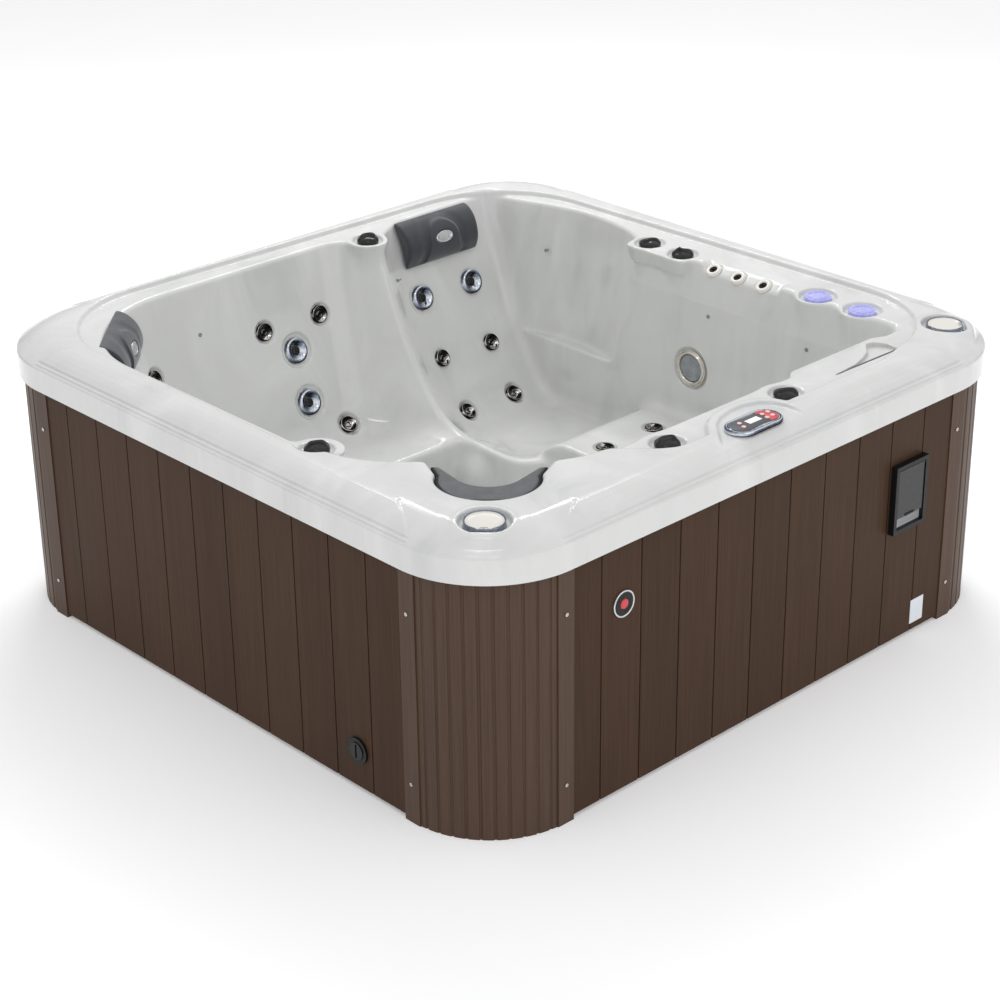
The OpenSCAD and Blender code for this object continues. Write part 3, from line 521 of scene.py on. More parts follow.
def mesh_from(name, v, faces, scale=0.001):
    me = bpy.data.meshes.new(name)
    v = np.asarray(v, float) * scale
    faces = np.asarray(faces)
    n = faces.shape[1]
    me.vertices.add(len(v)); me.vertices.foreach_set("co", v.astype(f4).ravel())
    me.loops.add(faces.size); me.loops.foreach_set("vertex_index", faces.astype(np.int32).ravel())
    me.polygons.add(len(faces))
    me.polygons.foreach_set("loop_start", np.arange(0, faces.size, n, dtype=np.int32))
    me.update(calc_edges=True)
    me.validate()
    return me


def obj_from(name, me, smooth=True):
    o = bpy.data.objects.new(name, me)
    scene.collection.objects.link(o)
    if smooth:
        me.polygons.foreach_set("use_smooth", np.ones(len(me.polygons), bool))
    return o


def read_mesh(me):
    v = np.empty(len(me.vertices) * 3, f4); me.vertices.foreach_get("co", v)
    me.calc_loop_triangles()
    t = np.empty(len(me.loop_triangles) * 3, np.int32); me.loop_triangles.foreach_get("vertices", t)
    return v.reshape(-1, 3).astype(float), t.reshape(-1, 3)


def decimated(name, v, faces, ratio):
    o = obj_from(name, mesh_from(name, v, faces))
    m = o.modifiers.new("d", "DECIMATE"); m.ratio = ratio
    dg = bpy.context.evaluated_depsgraph_get()
    v2, t2 = read_mesh(o.evaluated_get(dg).to_mesh())
    v2, t2 = v2.copy() * 1000, t2.copy()
    bpy.data.objects.remove(o)
    return v2, t2


def make_shell():
    xs = grid_lines([(-1071, 2.5), (-1036, 5.0), (-780, 7.0), (780, 5.0), (1036, 2.5)], -1071, 1071)
    zs = grid_lines([(55.5, 7.0), (776.5, 2.75)], 55.5, 850)
    # a row of cells is centred on the lower edge of the lip
    v, q = nets(shell_field, xs, xs, zs)
    v = snap(shell_field, v, 2, 2.5)
    dl = rim_in(v[:, 0].astype(f4), v[:, 1].astype(f4))
    bad = ((v[:, 2] < LIPZ - 1.0) & (dl < 110)) | (v[:, 2] < 60)
    q = q[~bad[q].any(1)]
    used = np.unique(q)
    remap = np.full(len(v), -1); remap[used] = np.arange(len(used))
    v, q = v[used], remap[q]
    v, t = decimated("shell_fine", v, q, min(1.0, 92000 / (2 * len(q))))
    edge = np.abs(v[:, 2] - LIPZ) < 2.5
    dl = rim_in(v[:, 0].astype(f4), v[:, 1].astype(f4))
    edge &= dl < 6
    w = snap(shell_field, v, 2, 1.5)
    w[edge, 2] = LIPZ
    g = grad(shell_field, w, 0.5)
    g[edge, 2] = 0
    n = g / np.maximum(np.linalg.norm(g, axis=1), 1e-6)[:, None]
    # close it as a thin moulding: the under side is the same surface moved in by the wall thickness
    N = len(w)
    inner = w - n * 3.6
    e = np.concatenate([t[:, [0, 1]], t[:, [1, 2]], t[:, [2, 0]]])
    ek = np.minimum(e[:, 0], e[:, 1]).astype(np.int64) * N + np.maximum(e[:, 0], e[:, 1])
    uniq, inv, cnt = np.unique(ek, return_inverse=True, return_counts=True)
    be = e[cnt[inv] == 1]
    side = np.concatenate([np.stack([be[:, 1], be[:, 0], be[:, 0] + N], 1), np.stack([be[:, 1], be[:, 0] + N, be[:, 1] + N], 1)])
    faces = np.concatenate([t, t[:, ::-1] + N, side])
    allv = np.concatenate([w, inner])
    me = mesh_from("shell_moulding", allv, faces)
    o = obj_from("shell_moulding", me)
    if len(me.polygons) == len(faces):
        ln = np.zeros((len(faces) * 3, 3), f4)
        ln[:len(t) * 3] = n[t.ravel()]
        ln[len(t) * 3:len(t) * 6] = -n[t[:, ::-1].ravel()]
        p = allv[side]
        fn = np.cross(p[:, 1] - p[:, 0], p[:, 2] - p[:, 0])
        fn /= np.maximum(np.linalg.norm(fn, axis=1), 1e-9)[:, None]
        ln[len(t) * 6:] = np.repeat(fn, 3, 0)
        me.normals_split_custom_set(ln)
    return o


LIPZ = 55.5 + 7.0 * 95.5


# ------------------------------------------------------------------ materials, all from nodes
def srgb(r, g, b):
    def f(c):
        c /= 255.0
        return c / 12.92 if c <= 0.04045 else ((c + 0.055) / 1.055) ** 2.4
    return (f(r), f(g), f(b), 1)


class Mat:
    """A Principled material with helpers for procedural detail in object space."""

    def __init__(self, name, **sock):
        self.m = bpy.data.materials.new(name)
        self.m.use_nodes = True
        self.t = self.m.node_tree
        self.b = self.t.nodes["Principled BSDF"]
        self.co = self.add("ShaderNodeTexCoord").outputs["Object"]
        for k, v in sock.items():
            self.b.inputs[k.replace("_", " ")].default_value = v
        self.last_bump = None

    def add(self, kind, ins=None, **props):
        n = self.t.nodes.new(kind)
        for k, v in props.items():
            setattr(n, k, v)
        for k, v in (ins or {}).items():
            if isinstance(v, bpy.types.NodeSocket):
                self.t.links.new(v, n.inputs[k])
            else:
                n.inputs[k].default_value = v
        return n

    def stretch(self, sx, sy, sz, rot=(0, 0, 0), vec=None):
        return self.add("ShaderNodeMapping", {"Vector": vec or self.co, "Scale": (sx, sy, sz), "Rotation": [math.radians(a) for a in rot]}).outputs[0]

    def noise(self, scale, detail=3.0, rough=0.5, dist=0.0, vec=None):
        return self.add("ShaderNodeTexNoise", {"Vector": vec or self.co, "Scale": scale, "Detail": detail, "Roughness": rough, "Distortion": dist}).outputs["Fac"]

    def ramp(self, fac, stops, interp="LINEAR"):
        n = self.add("ShaderNodeValToRGB", {"Fac": fac})
        n.color_ramp.interpolation = interp
        e = n.color_ramp.elements
        while len(e) < len(stops):
            e.new(0.5)
        for i, (pos, c) in enumerate(stops):
            e[i].position = pos
            e[i].color = c if len(c) == 4 else (*c, 1)
        return n.outputs["Color"]

    def span(self, fac, lo, hi, a=0.0, b=1.0):
        return self.add("ShaderNodeMapRange", {"Value": fac, "From Min": lo, "From Max": hi, "To Min": a, "To Max": b}).outputs["Result"]

    def op(self, kind, a, b=0.0):
        n = self.add("ShaderNodeMath", operation=kind)
        for i, v in enumerate((a, b)):
            if isinstance(v, bpy.types.NodeSocket):
                self.t.links.new(v, n.inputs[i])
            else:
                n.inputs[i].default_value = v
        return n.outputs[0]

    def mix(self, fac, a, b, mode="MIX"):
        n = self.add("ShaderNodeMix", data_type="RGBA", blend_type=mode)
        for key, v in ((0, fac), (6, a), (7, b)):
            if isinstance(v, bpy.types.NodeSocket):
                self.t.links.new(v, n.inputs[key])
            else:
                n.inputs[key].default_value = v
        return n.outputs[2]

    def set(self, sock, out):
        self.t.links.new(out, self.b.inputs[sock])
        return self

    def bump(self, height, dist, strength=1.0):
        n = self.add("ShaderNodeBump", {"Height": height, "Distance": dist, "Strength": strength})
        if self.last_bump:
            self.t.links.new(self.last_bump, n.inputs["Normal"])
        self.last_bump = n.outputs[0]
        self.t.links.new(self.last_bump, self.b.inputs["Normal"])
        return self

    def axis(self, i):
        return self.add("ShaderNodeSeparateXYZ", {"Vector": self.co}).outputs[i]


def plastic(name, col, rough, spread=0.12, fine=60.0, bump=0.00004, coat=0.0, **sock):
    """Moulded plastic: faint mottling, uneven gloss and a fine orange-peel bump."""
    m = Mat(name, Coat_Weight=coat, Coat_Roughness=0.05, **sock)
    n = m.noise(9.0, 4.0, 0.6)
    a = tuple(c * (1 - spread) for c in col[:3]) + (1,)
    b = tuple(min(1.0, c * (1 + spread)) for c in col[:3]) + (1,)
    m.set("Base Color", m.ramp(n, [(0.3, a), (0.7, b)]))
    m.set("Roughness", m.span(m.noise(fine, 3.0, 0.6), 0.3, 0.7, rough * 0.8, rough * 1.25))
    m.bump(m.noise(fine * 9, 2.0, 0.5), bump, 0.5)
    return m.m


def metal(name, col, rough, brush=None, spread=0.08, bump=0.00002, **sock):
    m = Mat(name, Metallic=1.0, **sock)
    v = m.stretch(*brush) if brush else m.co
    n = m.noise(40.0, 3.0, 0.6, vec=v)
    a = tuple(c * (1 - spread) for c in col[:3]) + (1,)
    b = tuple(min(1.0, c * (1 + spread)) for c in col[:3]) + (1,)
    m.set("Base Color", m.ramp(n, [(0.3, a), (0.7, b)]))
    m.set("Roughness", m.span(m.noise(160.0, 3.0, 0.6, vec=v), 0.3, 0.7, rough * 0.7, rough * 1.4))
    m.bump(m.noise(500.0, 2.0, 0.5, vec=v), bump, 0.4)
    return m.m


def painted_reflection_metal(name, stops, rough, d, wob=0.10, **sock):
    """Polished metal with painted reflection: its base colour runs through dark and bright bands set by the turn of
    its surface against one fixed direction.
    """
    m = Mat(name, Metallic=1.0, **sock)
    # the tint follows the surface normal: painted reflection of dark and bright surroundings, not the metal's own
    # colour
    nrm = m.add("ShaderNodeNewGeometry").outputs["Normal"]
    t = m.add("ShaderNodeVectorMath", {0: nrm, 1: d}, operation="DOT_PRODUCT").outputs["Value"]
    t = m.op("ADD", m.op("MULTIPLY", t, 0.5), 0.5)
    t = m.op("ADD", t, m.span(m.noise(46.0, 3.0, 0.6, 1.5), 0.3, 0.7, -wob, wob))
    m.set("Base Color", m.ramp(t, [(a, srgb(*c)) for a, c in stops]))
    m.set("Roughness", m.span(m.noise(120.0, 3.0, 0.6), 0.3, 0.7, rough * 0.7, rough * 1.4))
    m.bump(m.noise(420.0, 2.0, 0.5), 0.00002, 0.3)
    return m.m


# ramp stops of painted reflection for the chrome fittings: dark blue bands, bright bands and warm glints
REFLECTION_BANDS_BRIGHT = [(0.02, (150, 140, 134)), (0.12, (234, 216, 196)), (0.19, (58, 57, 60)), (0.27, (20, 23, 30)), (0.37, (34, 40, 52)), (0.46, (96, 106, 124)), (0.55, (152, 160, 175)), (0.66, (204, 210, 222)), (0.76, (250, 251, 253)), (0.86, (168, 176, 192)), (0.97, (84, 92, 108))]
REFLECTION_BANDS_DARK = [(0.03, (190, 184, 176)), (0.10, (236, 234, 232)), (0.19, (50, 50, 52)), (0.38, (18, 18, 20)), (0.52, (24, 24, 26)), (0.62, (48, 48, 50)), (0.71, (176, 176, 174)), (0.78, (240, 232, 222)), (0.84, (26, 26, 28)), (0.97, (18, 18, 20))]


def acrylic():
    """Cast acrylic: faint long streaks in one soft grey white under a clear gloss."""
    m = Mat("acrylic_marble", Coat_Weight=0.5, Coat_Roughness=0.02, IOR=1.49)
    big = m.noise(1.1, 3.0, 0.5, 0.8)
    v = m.stretch(2.6, 2.6, 0.55, (8, -10, 20))
    stroke = m.noise(1.5, 4.0, 0.55, 1.3, vec=v)
    v2 = m.stretch(0.7, 3.0, 0.9, (0, 24, -38))
    stroke2 = m.noise(1.7, 4.0, 0.55, 1.8, vec=v2)
    base = m.ramp(stroke, [(0.26, ACR_D), (0.48, ACR_M), (0.72, ACR_L)], "EASE")
    veil = m.ramp(stroke2, [(0.30, ACR_D2), (0.52, (1, 1, 1)), (0.70, (1, 1, 1))], "EASE")
    m.set("Base Color", m.mix(m.span(big, 0.35, 0.65, 0.2, 1.0), base, veil, "MULTIPLY"))
    m.set("Roughness", m.span(m.noise(14.0, 3.0, 0.6), 0.3, 0.7, 0.10, 0.16))
    m.bump(m.noise(7.0, 2.0, 0.5), 0.0006, 0.2)
    return m.m


ACR_D, ACR_M, ACR_L = srgb(200, 202, 200), srgb(211, 212, 210), srgb(219, 220, 218)
ACR_D2 = (0.945, 0.95, 0.948)


def board_mat(name, axis, tone=1.0, spec=0.09):
    """Composite board: fine vertical streaks, tone that changes from board to board, slight sheen."""
    m = Mat(name, Specular_IOR_Level=spec)
    co = [1, 1, 1]
    fine = m.noise(1.0, 6.0, 0.7, vec=m.stretch(*(240, 240, 3.0)))
    mid = m.noise(1.0, 4.0, 0.6, vec=m.stretch(*(52, 52, 1.1)))
    low = m.noise(2.2, 3.0, 0.5)
    k = m.op("FLOOR", m.op("MULTIPLY", m.op("ADD", m.axis(axis), 0.648), 1 / 0.141))
    tint = m.add("ShaderNodeTexWhiteNoise", {"W": k}, noise_dimensions="1D").outputs["Value"]
    dark, mean, light = [tuple(c * tone for c in srgb(*v)[:3]) + (1,) for v in ((61, 43, 31), (70, 51, 38), (79, 58, 44))]
    col = m.ramp(fine, [(0.28, dark), (0.5, mean), (0.74, light)])
    col = m.mix(1.0, col, m.ramp(mid, [(0.25, (0.86, 0.86, 0.86)), (0.75, (1.1, 1.09, 1.08))]), "MULTIPLY")
    col = m.mix(1.0, col, m.ramp(tint, [(0.0, (0.93, 0.93, 0.93)), (1.0, (1.06, 1.06, 1.06))]), "MULTIPLY")
    col = m.mix(1.0, col, m.ramp(low, [(0.3, (0.94, 0.94, 0.95)), (0.7, (1.05, 1.04, 1.03))]), "MULTIPLY")
    m.set("Base Color", col)
    m.set("Roughness", m.span(mid, 0.3, 0.7, 0.36, 0.52))
    m.bump(fine, 0.00035, 0.55)
    return m.m


def cushion_mat():
    """Skinned foam: soft satin charcoal with a faint pebble."""
    m = Mat("foam_skin", Specular_IOR_Level=0.42, Sheen_Weight=0.36, Sheen_Roughness=0.5)
    n = m.noise(6.0, 4.0, 0.6)
    m.set("Base Color", m.ramp(n, [(0.3, srgb(38, 42, 47)), (0.7, srgb(50, 55, 61))]))
    m.set("Roughness", m.span(m.noise(40.0, 3.0, 0.6), 0.3, 0.7, 0.40, 0.54))
    v = m.add("ShaderNodeTexVoronoi", {"Vector": m.co, "Scale": 620.0, "Randomness": 1.0}).outputs["Distance"]
    m.bump(v, 0.00016, 0.35)
    m.bump(m.noise(90.0, 3.0, 0.5), 0.0003, 0.25)
    return m.m


def film_mat():
    """Protective film stretched over the lid: pale violet, uneven, slightly wrinkled."""
    m = Mat("film", Coat_Weight=0.6, Coat_Roughness=0.08)
    a = m.noise(34.0, 5.0, 0.7, 1.5)
    m.set("Base Color", m.ramp(a, [(0.3, srgb(158, 158, 226)), (0.52, srgb(176, 176, 240)), (0.72, srgb(206, 206, 252))]))
    m.set("Roughness", m.span(m.noise(80.0, 3.0, 0.6), 0.3, 0.7, 0.18, 0.38))
    m.bump(m.noise(60.0, 4.0, 0.6, 1.2), 0.0006, 0.4)
    return m.m


def clear_mat():
    m = Mat("clear_blue", Transmission_Weight=0.82, IOR=1.46, Coat_Weight=0.2)
    m.set("Base Color", m.ramp(m.noise(24.0, 3.0, 0.6), [(0.3, srgb(186, 194, 216)), (0.7, srgb(224, 229, 240))]))
    m.set("Roughness", m.span(m.noise(90.0, 2.0, 0.5), 0.3, 0.7, 0.05, 0.14))
    m.bump(m.noise(70.0, 3.0, 0.5), 0.0002, 0.3)
    return m.m


def wood_mat():
    m = Mat("frame_timber")
    g = m.noise(1.0, 5.0, 0.65, 0.6, vec=m.stretch(14, 14, 60))
    m.set("Base Color", m.ramp(g, [(0.3, srgb(150, 112, 72)), (0.5, srgb(186, 146, 98)), (0.72, srgb(206, 172, 124))]))
    m.set("Roughness", m.span(g, 0.3, 0.7, 0.55, 0.75))
    m.bump(g, 0.0004, 0.5)
    return m.m


def paper_mat():
    m = Mat("filter_paper", Specular_IOR_Level=0.2)
    n = m.noise(120.0, 4.0, 0.7)
    m.set("Base Color", m.ramp(n, [(0.3, srgb(222, 226, 226)), (0.7, srgb(244, 246, 246))]))
    m.set("Roughness", m.span(n, 0.3, 0.7, 0.8, 0.95))
    m.bump(n, 0.0004, 0.5)
    return m.m


def lens_mat():
    m = Mat("lens_grey", Transmission_Weight=0.25, IOR=1.5, Coat_Weight=0.4, Coat_Roughness=0.05)
    m.set("Base Color", m.ramp(m.noise(30.0, 3.0, 0.6), [(0.3, srgb(150, 156, 160)), (0.7, srgb(182, 187, 190))]))
    m.set("Roughness", m.span(m.noise(90.0, 2.0, 0.5), 0.3, 0.7, 0.12, 0.24))
    m.bump(m.noise(400.0, 2.0, 0.5), 0.0001, 0.3)
    return m.m


def display_mat():
    m = Mat("lcd", Coat_Weight=0.8, Coat_Roughness=0.03, Emission_Strength=0.25)
    n = m.noise(60.0, 2.0, 0.5)
    c = m.ramp(n, [(0.3, srgb(226, 230, 232)), (0.7, srgb(246, 248, 248))])
    m.set("Base Color", c)
    m.set("Emission Color", c)
    m.set("Roughness", m.span(n, 0.3, 0.7, 0.12, 0.2))
    m.bump(m.noise(800.0, 2.0, 0.5), 0.00002, 0.2)
    return m.m


MATS = {
    "acrylic": acrylic(),
    "tray": plastic("abs_tray", srgb(46, 47, 48), 0.5),
    "timber": wood_mat(),
    "board": board_mat("boards_front", 0),
    "board_side": board_mat("boards_side", 1),
    # painted light: the corner covers take the board colour 1.28 times lighter, standing in for the brighter light and
    # sheen on the rounded corners
    "corner": board_mat("corner_boards_painted_light", 0, 1.28, 0.3),
    "steel": metal("screw_steel", srgb(206, 206, 204), 0.22),
    "badge": metal("satin_silver", srgb(214, 215, 216), 0.26),
    "plate": plastic("plate_white", srgb(226, 230, 236), 0.4, 0.03),
    "black": plastic("black_plastic", srgb(19, 20, 22), 0.34, Specular_IOR_Level=0.28),
    "gloss": plastic("black_gloss", srgb(9, 9, 10), 0.14, coat=0.22, Specular_IOR_Level=0.3),
    "smoke": plastic("smoked_flap", srgb(38, 39, 40), 0.24, 0.06, coat=0.1, Specular_IOR_Level=0.35),
    "mesh": plastic("grille_pale", srgb(176, 178, 180), 0.4),
    "chrome": metal("chrome", srgb(226, 228, 232), 0.05),
    "keyface": plastic("key_face", srgb(72, 74, 78), 0.32, 0.05),
    "red": plastic("key_red", srgb(206, 62, 66), 0.3, 0.05),
    "display": display_mat(),
    "button": plastic("button_pale", srgb(240, 200, 196), 0.35, 0.04),
    "knob": plastic("knob_black", srgb(13, 13, 14), 0.10, coat=0.30, Specular_IOR_Level=0.32),
    "pvc": plastic("pvc_white", srgb(232, 232, 228), 0.4, 0.04),
    "film": film_mat(),
    "paper": paper_mat(),
    # these two finishes carry painted reflection in their base colour
    "bright": painted_reflection_metal("bright_chrome_painted_reflection", REFLECTION_BANDS_BRIGHT, 0.07, (-0.60, 0.30, 0.74), 0.04),
    "darkchrome": painted_reflection_metal("black_chrome_painted_reflection", REFLECTION_BANDS_DARK, 0.09, (-0.42, 0.33, 0.84), 0.05),
    "collar": plastic("collar_pearl", srgb(236, 233, 224), 0.16, 0.04, coat=0.5),
    "nickel": metal("nickel", srgb(206, 202, 192), 0.14),
    "lens": lens_mat(),
    "led": plastic("led_clear", srgb(150, 154, 152), 0.25, 0.05, Transmission_Weight=0.2),
    "cushion": cushion_mat(),
    "cup": plastic("cup_cream", srgb(222, 219, 211), 0.2, 0.03, coat=0.3),
    "clear": clear_mat(),
    "motor": plastic("motor_grey", srgb(60, 66, 74), 0.4),
    "box": plastic("box_grey", srgb(140, 144, 146), 0.5),
    "dark_band": plastic("black_band", srgb(20, 21, 23), 0.5, Specular_IOR_Level=0.2),
    # flat dark grey of the strip that stands for the shadow along the shelf edge: painted shadow
    "shadow_strip": plastic("painted_shadow_grey", srgb(96, 100, 99), 0.45),
}


def paint(o, key):
    o.data.materials.clear()
    o.data.materials.append(MATS[key])
    for p in o.data.polygons:
        p.material_index = 0


NODE_MAT = {
    "base_tray": "tray", "timber_frame": "timber", "front_panel": "board", "back_panel": "board", "left_panel": "board_side", "right_panel": "board_side",
    "corner_cover_front_left": "corner", "corner_cover_back_left": "corner", "corner_cover_back_right": "corner", "corner_cover_front_right": "corner",
    "cabinet_screws": "steel", "data_plate": "plate", "drain_bezel": "black", "drain_cap": "gloss", "vent_frame": "black", "vent_flap": "smoke", "vent_mesh": "mesh",
    "display_window": "display", "button_light": "button", "button_jets_1": "button", "button_mode": "button", "button_up": "button", "button_down": "button", "button_jets_2": "button",
    "filter_cartridge_1": "paper", "filter_cartridge_2": "paper", "corner_lights": "led",
    "pumps": "motor", "control_box": "box", "plumbing": "pvc", "suction_covers": "black", "side_badge": "badge", "keypad_bezel": "chrome", "keypad_face": "keyface",
    "light_ring": "nickel", "light_lens": "lens", "neck_jets": "collar", "small_jets": "darkchrome", "heater": "steel",
}
for n, o in nodes.items():
    key = NODE_MAT.get(n)
    if key is None:
        key = "knob" if n.startswith("knob") else "bright" if n.startswith("big_jet") else "film" if n.startswith("filter_lid") else "cushion" if n.startswith("cushion") else "cup" if n.startswith("cup") else "acrylic"
    for i in range(max(1, len(o.data.materials))):
        if i < len(o.data.materials):
            o.material_slots[i].material = MATS[key]
        else:
            o.data.materials.append(MATS[key])


# ------------------------------------------------------------------ mesh helpers for the fittings
def curve(pts, sub=5):
    """Catmull-Rom through the points; a point given twice stays a corner."""
    out = []
    n = len(pts)
    for i in range(n - 1):
        p0, p1, p2, p3 = [np.array(pts[min(max(i + k, 0), n - 1)], float) for k in (-1, 0, 1, 2)]
        if np.allclose(p1, p2):
            continue
        for k in range(sub):
            t = k / sub
            out.append(tuple(0.5 * ((2 * p1) + (-p0 + p2) * t + (2 * p0 - 5 * p1 + 4 * p2 - p3) * t * t + (-p0 + 3 * p1 - 3 * p2 + p3) * t ** 3)))
    out.append(tuple(pts[-1]))
    return out


def lathe(prof, n=72, warp=None):
    """Closed solid of revolution from a profile of (r, z). A first or last r of 0 closes on the axis, else the profile is a loop."""
    v, f = [], []
    rings = []
    for r, z in prof:
        if r < 1e-6:
            rings.append([len(v)])
            v.append((0.0, 0.0, z))
        else:
            row = []
            for k in range(n):
                a = 2 * math.pi * k / n
                rr, zz = (r, z) if warp is None else warp(r, z, a)
                row.append(len(v))
                v.append((rr * math.cos(a), rr * math.sin(a), zz))
            rings.append(row)
    loop = len(rings[0]) > 1 and len(rings[-1]) > 1
    pairs = list(zip(rings, rings[1:])) + ([(rings[-1], rings[0])] if loop else [])
    for a, b in pairs:
        for k in range(n):
            k2 = (k + 1) % n
            if len(a) == 1 and len(b) == 1:
                break
            if len(a) == 1:
                f.append((a[0], b[k2], b[k]))
            elif len(b) == 1:
                f.append((a[k], a[k2], b[0]))
            else:
                f.append((a[k], a[k2], b[k2], b[k]))
    return v, f


def prism(outline, z0, z1, bevel=0.0):
    """Closed upright solid on a polygon outline, with a chamfer round its top."""
    n = len(outline)
    o = np.array(outline, float)
    area2 = sum(o[i - 1][0] * o[i][1] - o[i][0] * o[i - 1][1] for i in range(n))
    if area2 < 0:
        o = o[::-1]
    rings = [(o, z0), (o, z1 - bevel)]
    if bevel > 0:
        e1 = o - np.roll(o, 1, 0)
        e2 = np.roll(o, -1, 0) - o
        n1 = np.stack([e1[:, 1], -e1[:, 0]], 1) / np.maximum(np.linalg.norm(e1, axis=1), 1e-9)[:, None]
        n2 = np.stack([e2[:, 1], -e2[:, 0]], 1) / np.maximum(np.linalg.norm(e2, axis=1), 1e-9)[:, None]
        nn = n1 + n2
        nn /= np.maximum((nn * nn).sum(1), 0.3)[:, None] / 2
        rings.append((o - nn * bevel * 0.3, z1 - bevel * 0.3))
        rings.append((o - nn * bevel, z1))
    v = [(p[0], p[1], z) for r, z in rings for p in r]
    f = []
    for k in range(len(rings) - 1):
        for i in range(n):
            j = (i + 1) % n
            f.append((k * n + i, k * n + j, (k + 1) * n + j, (k + 1) * n + i))
    f.append(tuple(reversed(range(n))))
    f.append(tuple(range((len(rings) - 1) * n, len(rings) * n)))
    return v, f


def join(parts):
    v, f = [], []
    for pv, pf in parts:
        b = len(v)
        v += list(pv)
        f += [tuple(i + b for i in q) for q in pf]
    return v, f


def moved(part, M):
    v, f = part
    return [tuple(M @ Vector(p)) for p in v], f


def piece(name, part, mat, body, M=None, sharp=38, replace=(), mats=None):
    """One object in metres from a part in millimetres."""
    v, f = moved(part, M) if M is not None else part
    me = bpy.data.meshes.new(name)
    me.from_pydata([tuple(c * 0.001 for c in p) for p in v], [], f)
    me.validate()
    o = bpy.data.objects.new(name, me)
    scene.collection.objects.link(o)
    me.polygons.foreach_set("use_smooth", np.ones(len(me.polygons), bool))
    if sharp:
        me.set_sharp_from_angle(angle=math.radians(sharp))
    me.materials.append(MATS[mat])
    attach(o, body)
    if replace:
        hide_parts(*[r for r in replace if r in nodes])
    return o


def field_part(F, lo, hi, h, ratio=1.0):
    """Closed mesh of a small distance field in a box."""
    ax = [np.arange(lo[i] - h, hi[i] + 2 * h, h).astype(f4) for i in range(3)]
    v, q = nets(F, *ax)
    v = snap(F, v, 3, h, h * 0.25)
    used = np.unique(q)
    remap = np.full(len(v), -1); remap[used] = np.arange(len(used))
    v, q = v[used], remap[q]
    if ratio < 1:
        v, q = decimated("field", v, q, ratio)
        v = snap(F, v, 1, h * 0.5, h * 0.25)
    return v.tolist(), [tuple(int(i) for i in r) for r in q]


def stadium(w, h, n=18):
    r = h / 2
    c = w / 2 - r
    return [(c + r * math.cos(math.radians(-90 + 180 * i / n)), r * math.sin(math.radians(-90 + 180 * i / n))) for i in range(n + 1)] + \
        [(-c + r * math.cos(math.radians(90 + 180 * i / n)), r * math.sin(math.radians(90 + 180 * i / n))) for i in range(n + 1)]


# ------------------------------------------------------------------ the shell
shell = make_shell()
shell.data.materials.append(MATS["acrylic"])
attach(shell, "cabinet")
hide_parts(*[n for n in ("shell_rim", "shell", "shell_pan", "lounger_pan", "footwell_pan") if n in nodes])

# ------------------------------------------------------------------ dark strip along the shelf edge, painted shadow of the narrow gap there
def band_along(pts, w, z0, z1):
    """Closed narrow strip along a curved line in plan."""
    c = np.array(curve(pts, 6), float)
    t = np.gradient(c, axis=0)
    t /= np.maximum(np.linalg.norm(t, axis=1), 1e-9)[:, None]
    n = np.stack([-t[:, 1], t[:, 0]], 1)
    f = np.sin(np.linspace(0.12, math.pi - 0.12, len(c)))[:, None] ** 0.5
    a, b = c + n * f * w / 2, c - n * f * w / 2
    m = len(c)
    v = [(p[0], p[1], z) for z in (z0, z1) for q in (a, b) for p in q]
    q = []
    for i in range(m - 1):
        A0, A1, B0, B1 = i, i + 1, m + i, m + i + 1
        C0, C1, D0, D1 = 2 * m + i, 2 * m + i + 1, 3 * m + i, 3 * m + i + 1
        q += [(A0, A1, B1, B0), (C0, D0, D1, C1), (A0, C0, C1, A1), (B0, B1, D1, D0)]
    q += [(0, m, 3 * m, 2 * m), (m - 1, 3 * m - 1, 4 * m - 1, 2 * m - 1)]
    return v, q


# a thin grey strip laid where the deep edge of the shelf recess throws its shadow: painted shadow
piece("shelf_seam", band_along([(412, -891.5), (412, -891.5), (470, -892.5), (547, -893.5), (610, -894.5), (652, -895), (668, -891), (668, -891)], 3.6, 807, 822.2), "shadow_strip", "cabinet", None, 60)

# ------------------------------------------------------------------ head cushions
PROF = curve([(-28.5, -66), (-28.5, -66), (0, 4), (27.5, 71), (27.5, 71), (16, 75), (-6, 67), (-28, 50), (-44, 28), (-53, 0), (-52, -28), (-42, -56), (-34, -69), (-28.5, -66)], 4)[:-1]


def slab_field(x, y, z):
    """Curved head cushion: smooth back, bulging face, raised tongue with a seat for its oval plaque."""
    x, y, z = [np.asarray(a, f4) for a in (x, y, z)]
    d = poly2(y, z, PROF)
    # ends pull in a little at mid height, as foam skins do
    end = np.abs(x) - 145 + 5 * step01(1 - np.abs(z - 6) / 70)
    front = step01((-(y - z * 0.409) - 6) / 14)
    zc = 14.0
    half = 57.8 + 13 * step01((zc - z) / 78) ** 1.3
    m2 = np.where(z > zc, np.hypot(x / 1.18, (z - zc)) - 49, np.abs(x) - half)
    tongue = step01(0.5 - m2 / 7)
    dish = step01(1 - np.abs(m2 - 13) / 24) * (m2 > 0)
    badge = (np.hypot(x / 35, (z - 12) / 20.5) - 1) * 23
    seat = step01(0.5 - badge / 3)
    low = step01((-z - 40) / 30) * step01(1 - np.abs(x) / 150)
    off = front * (5.0 * tongue - 2.4 * dish - 3.2 * seat) - 3.0 * low * front
    return smax(d - off + 1.5, end, 11) * 0.9


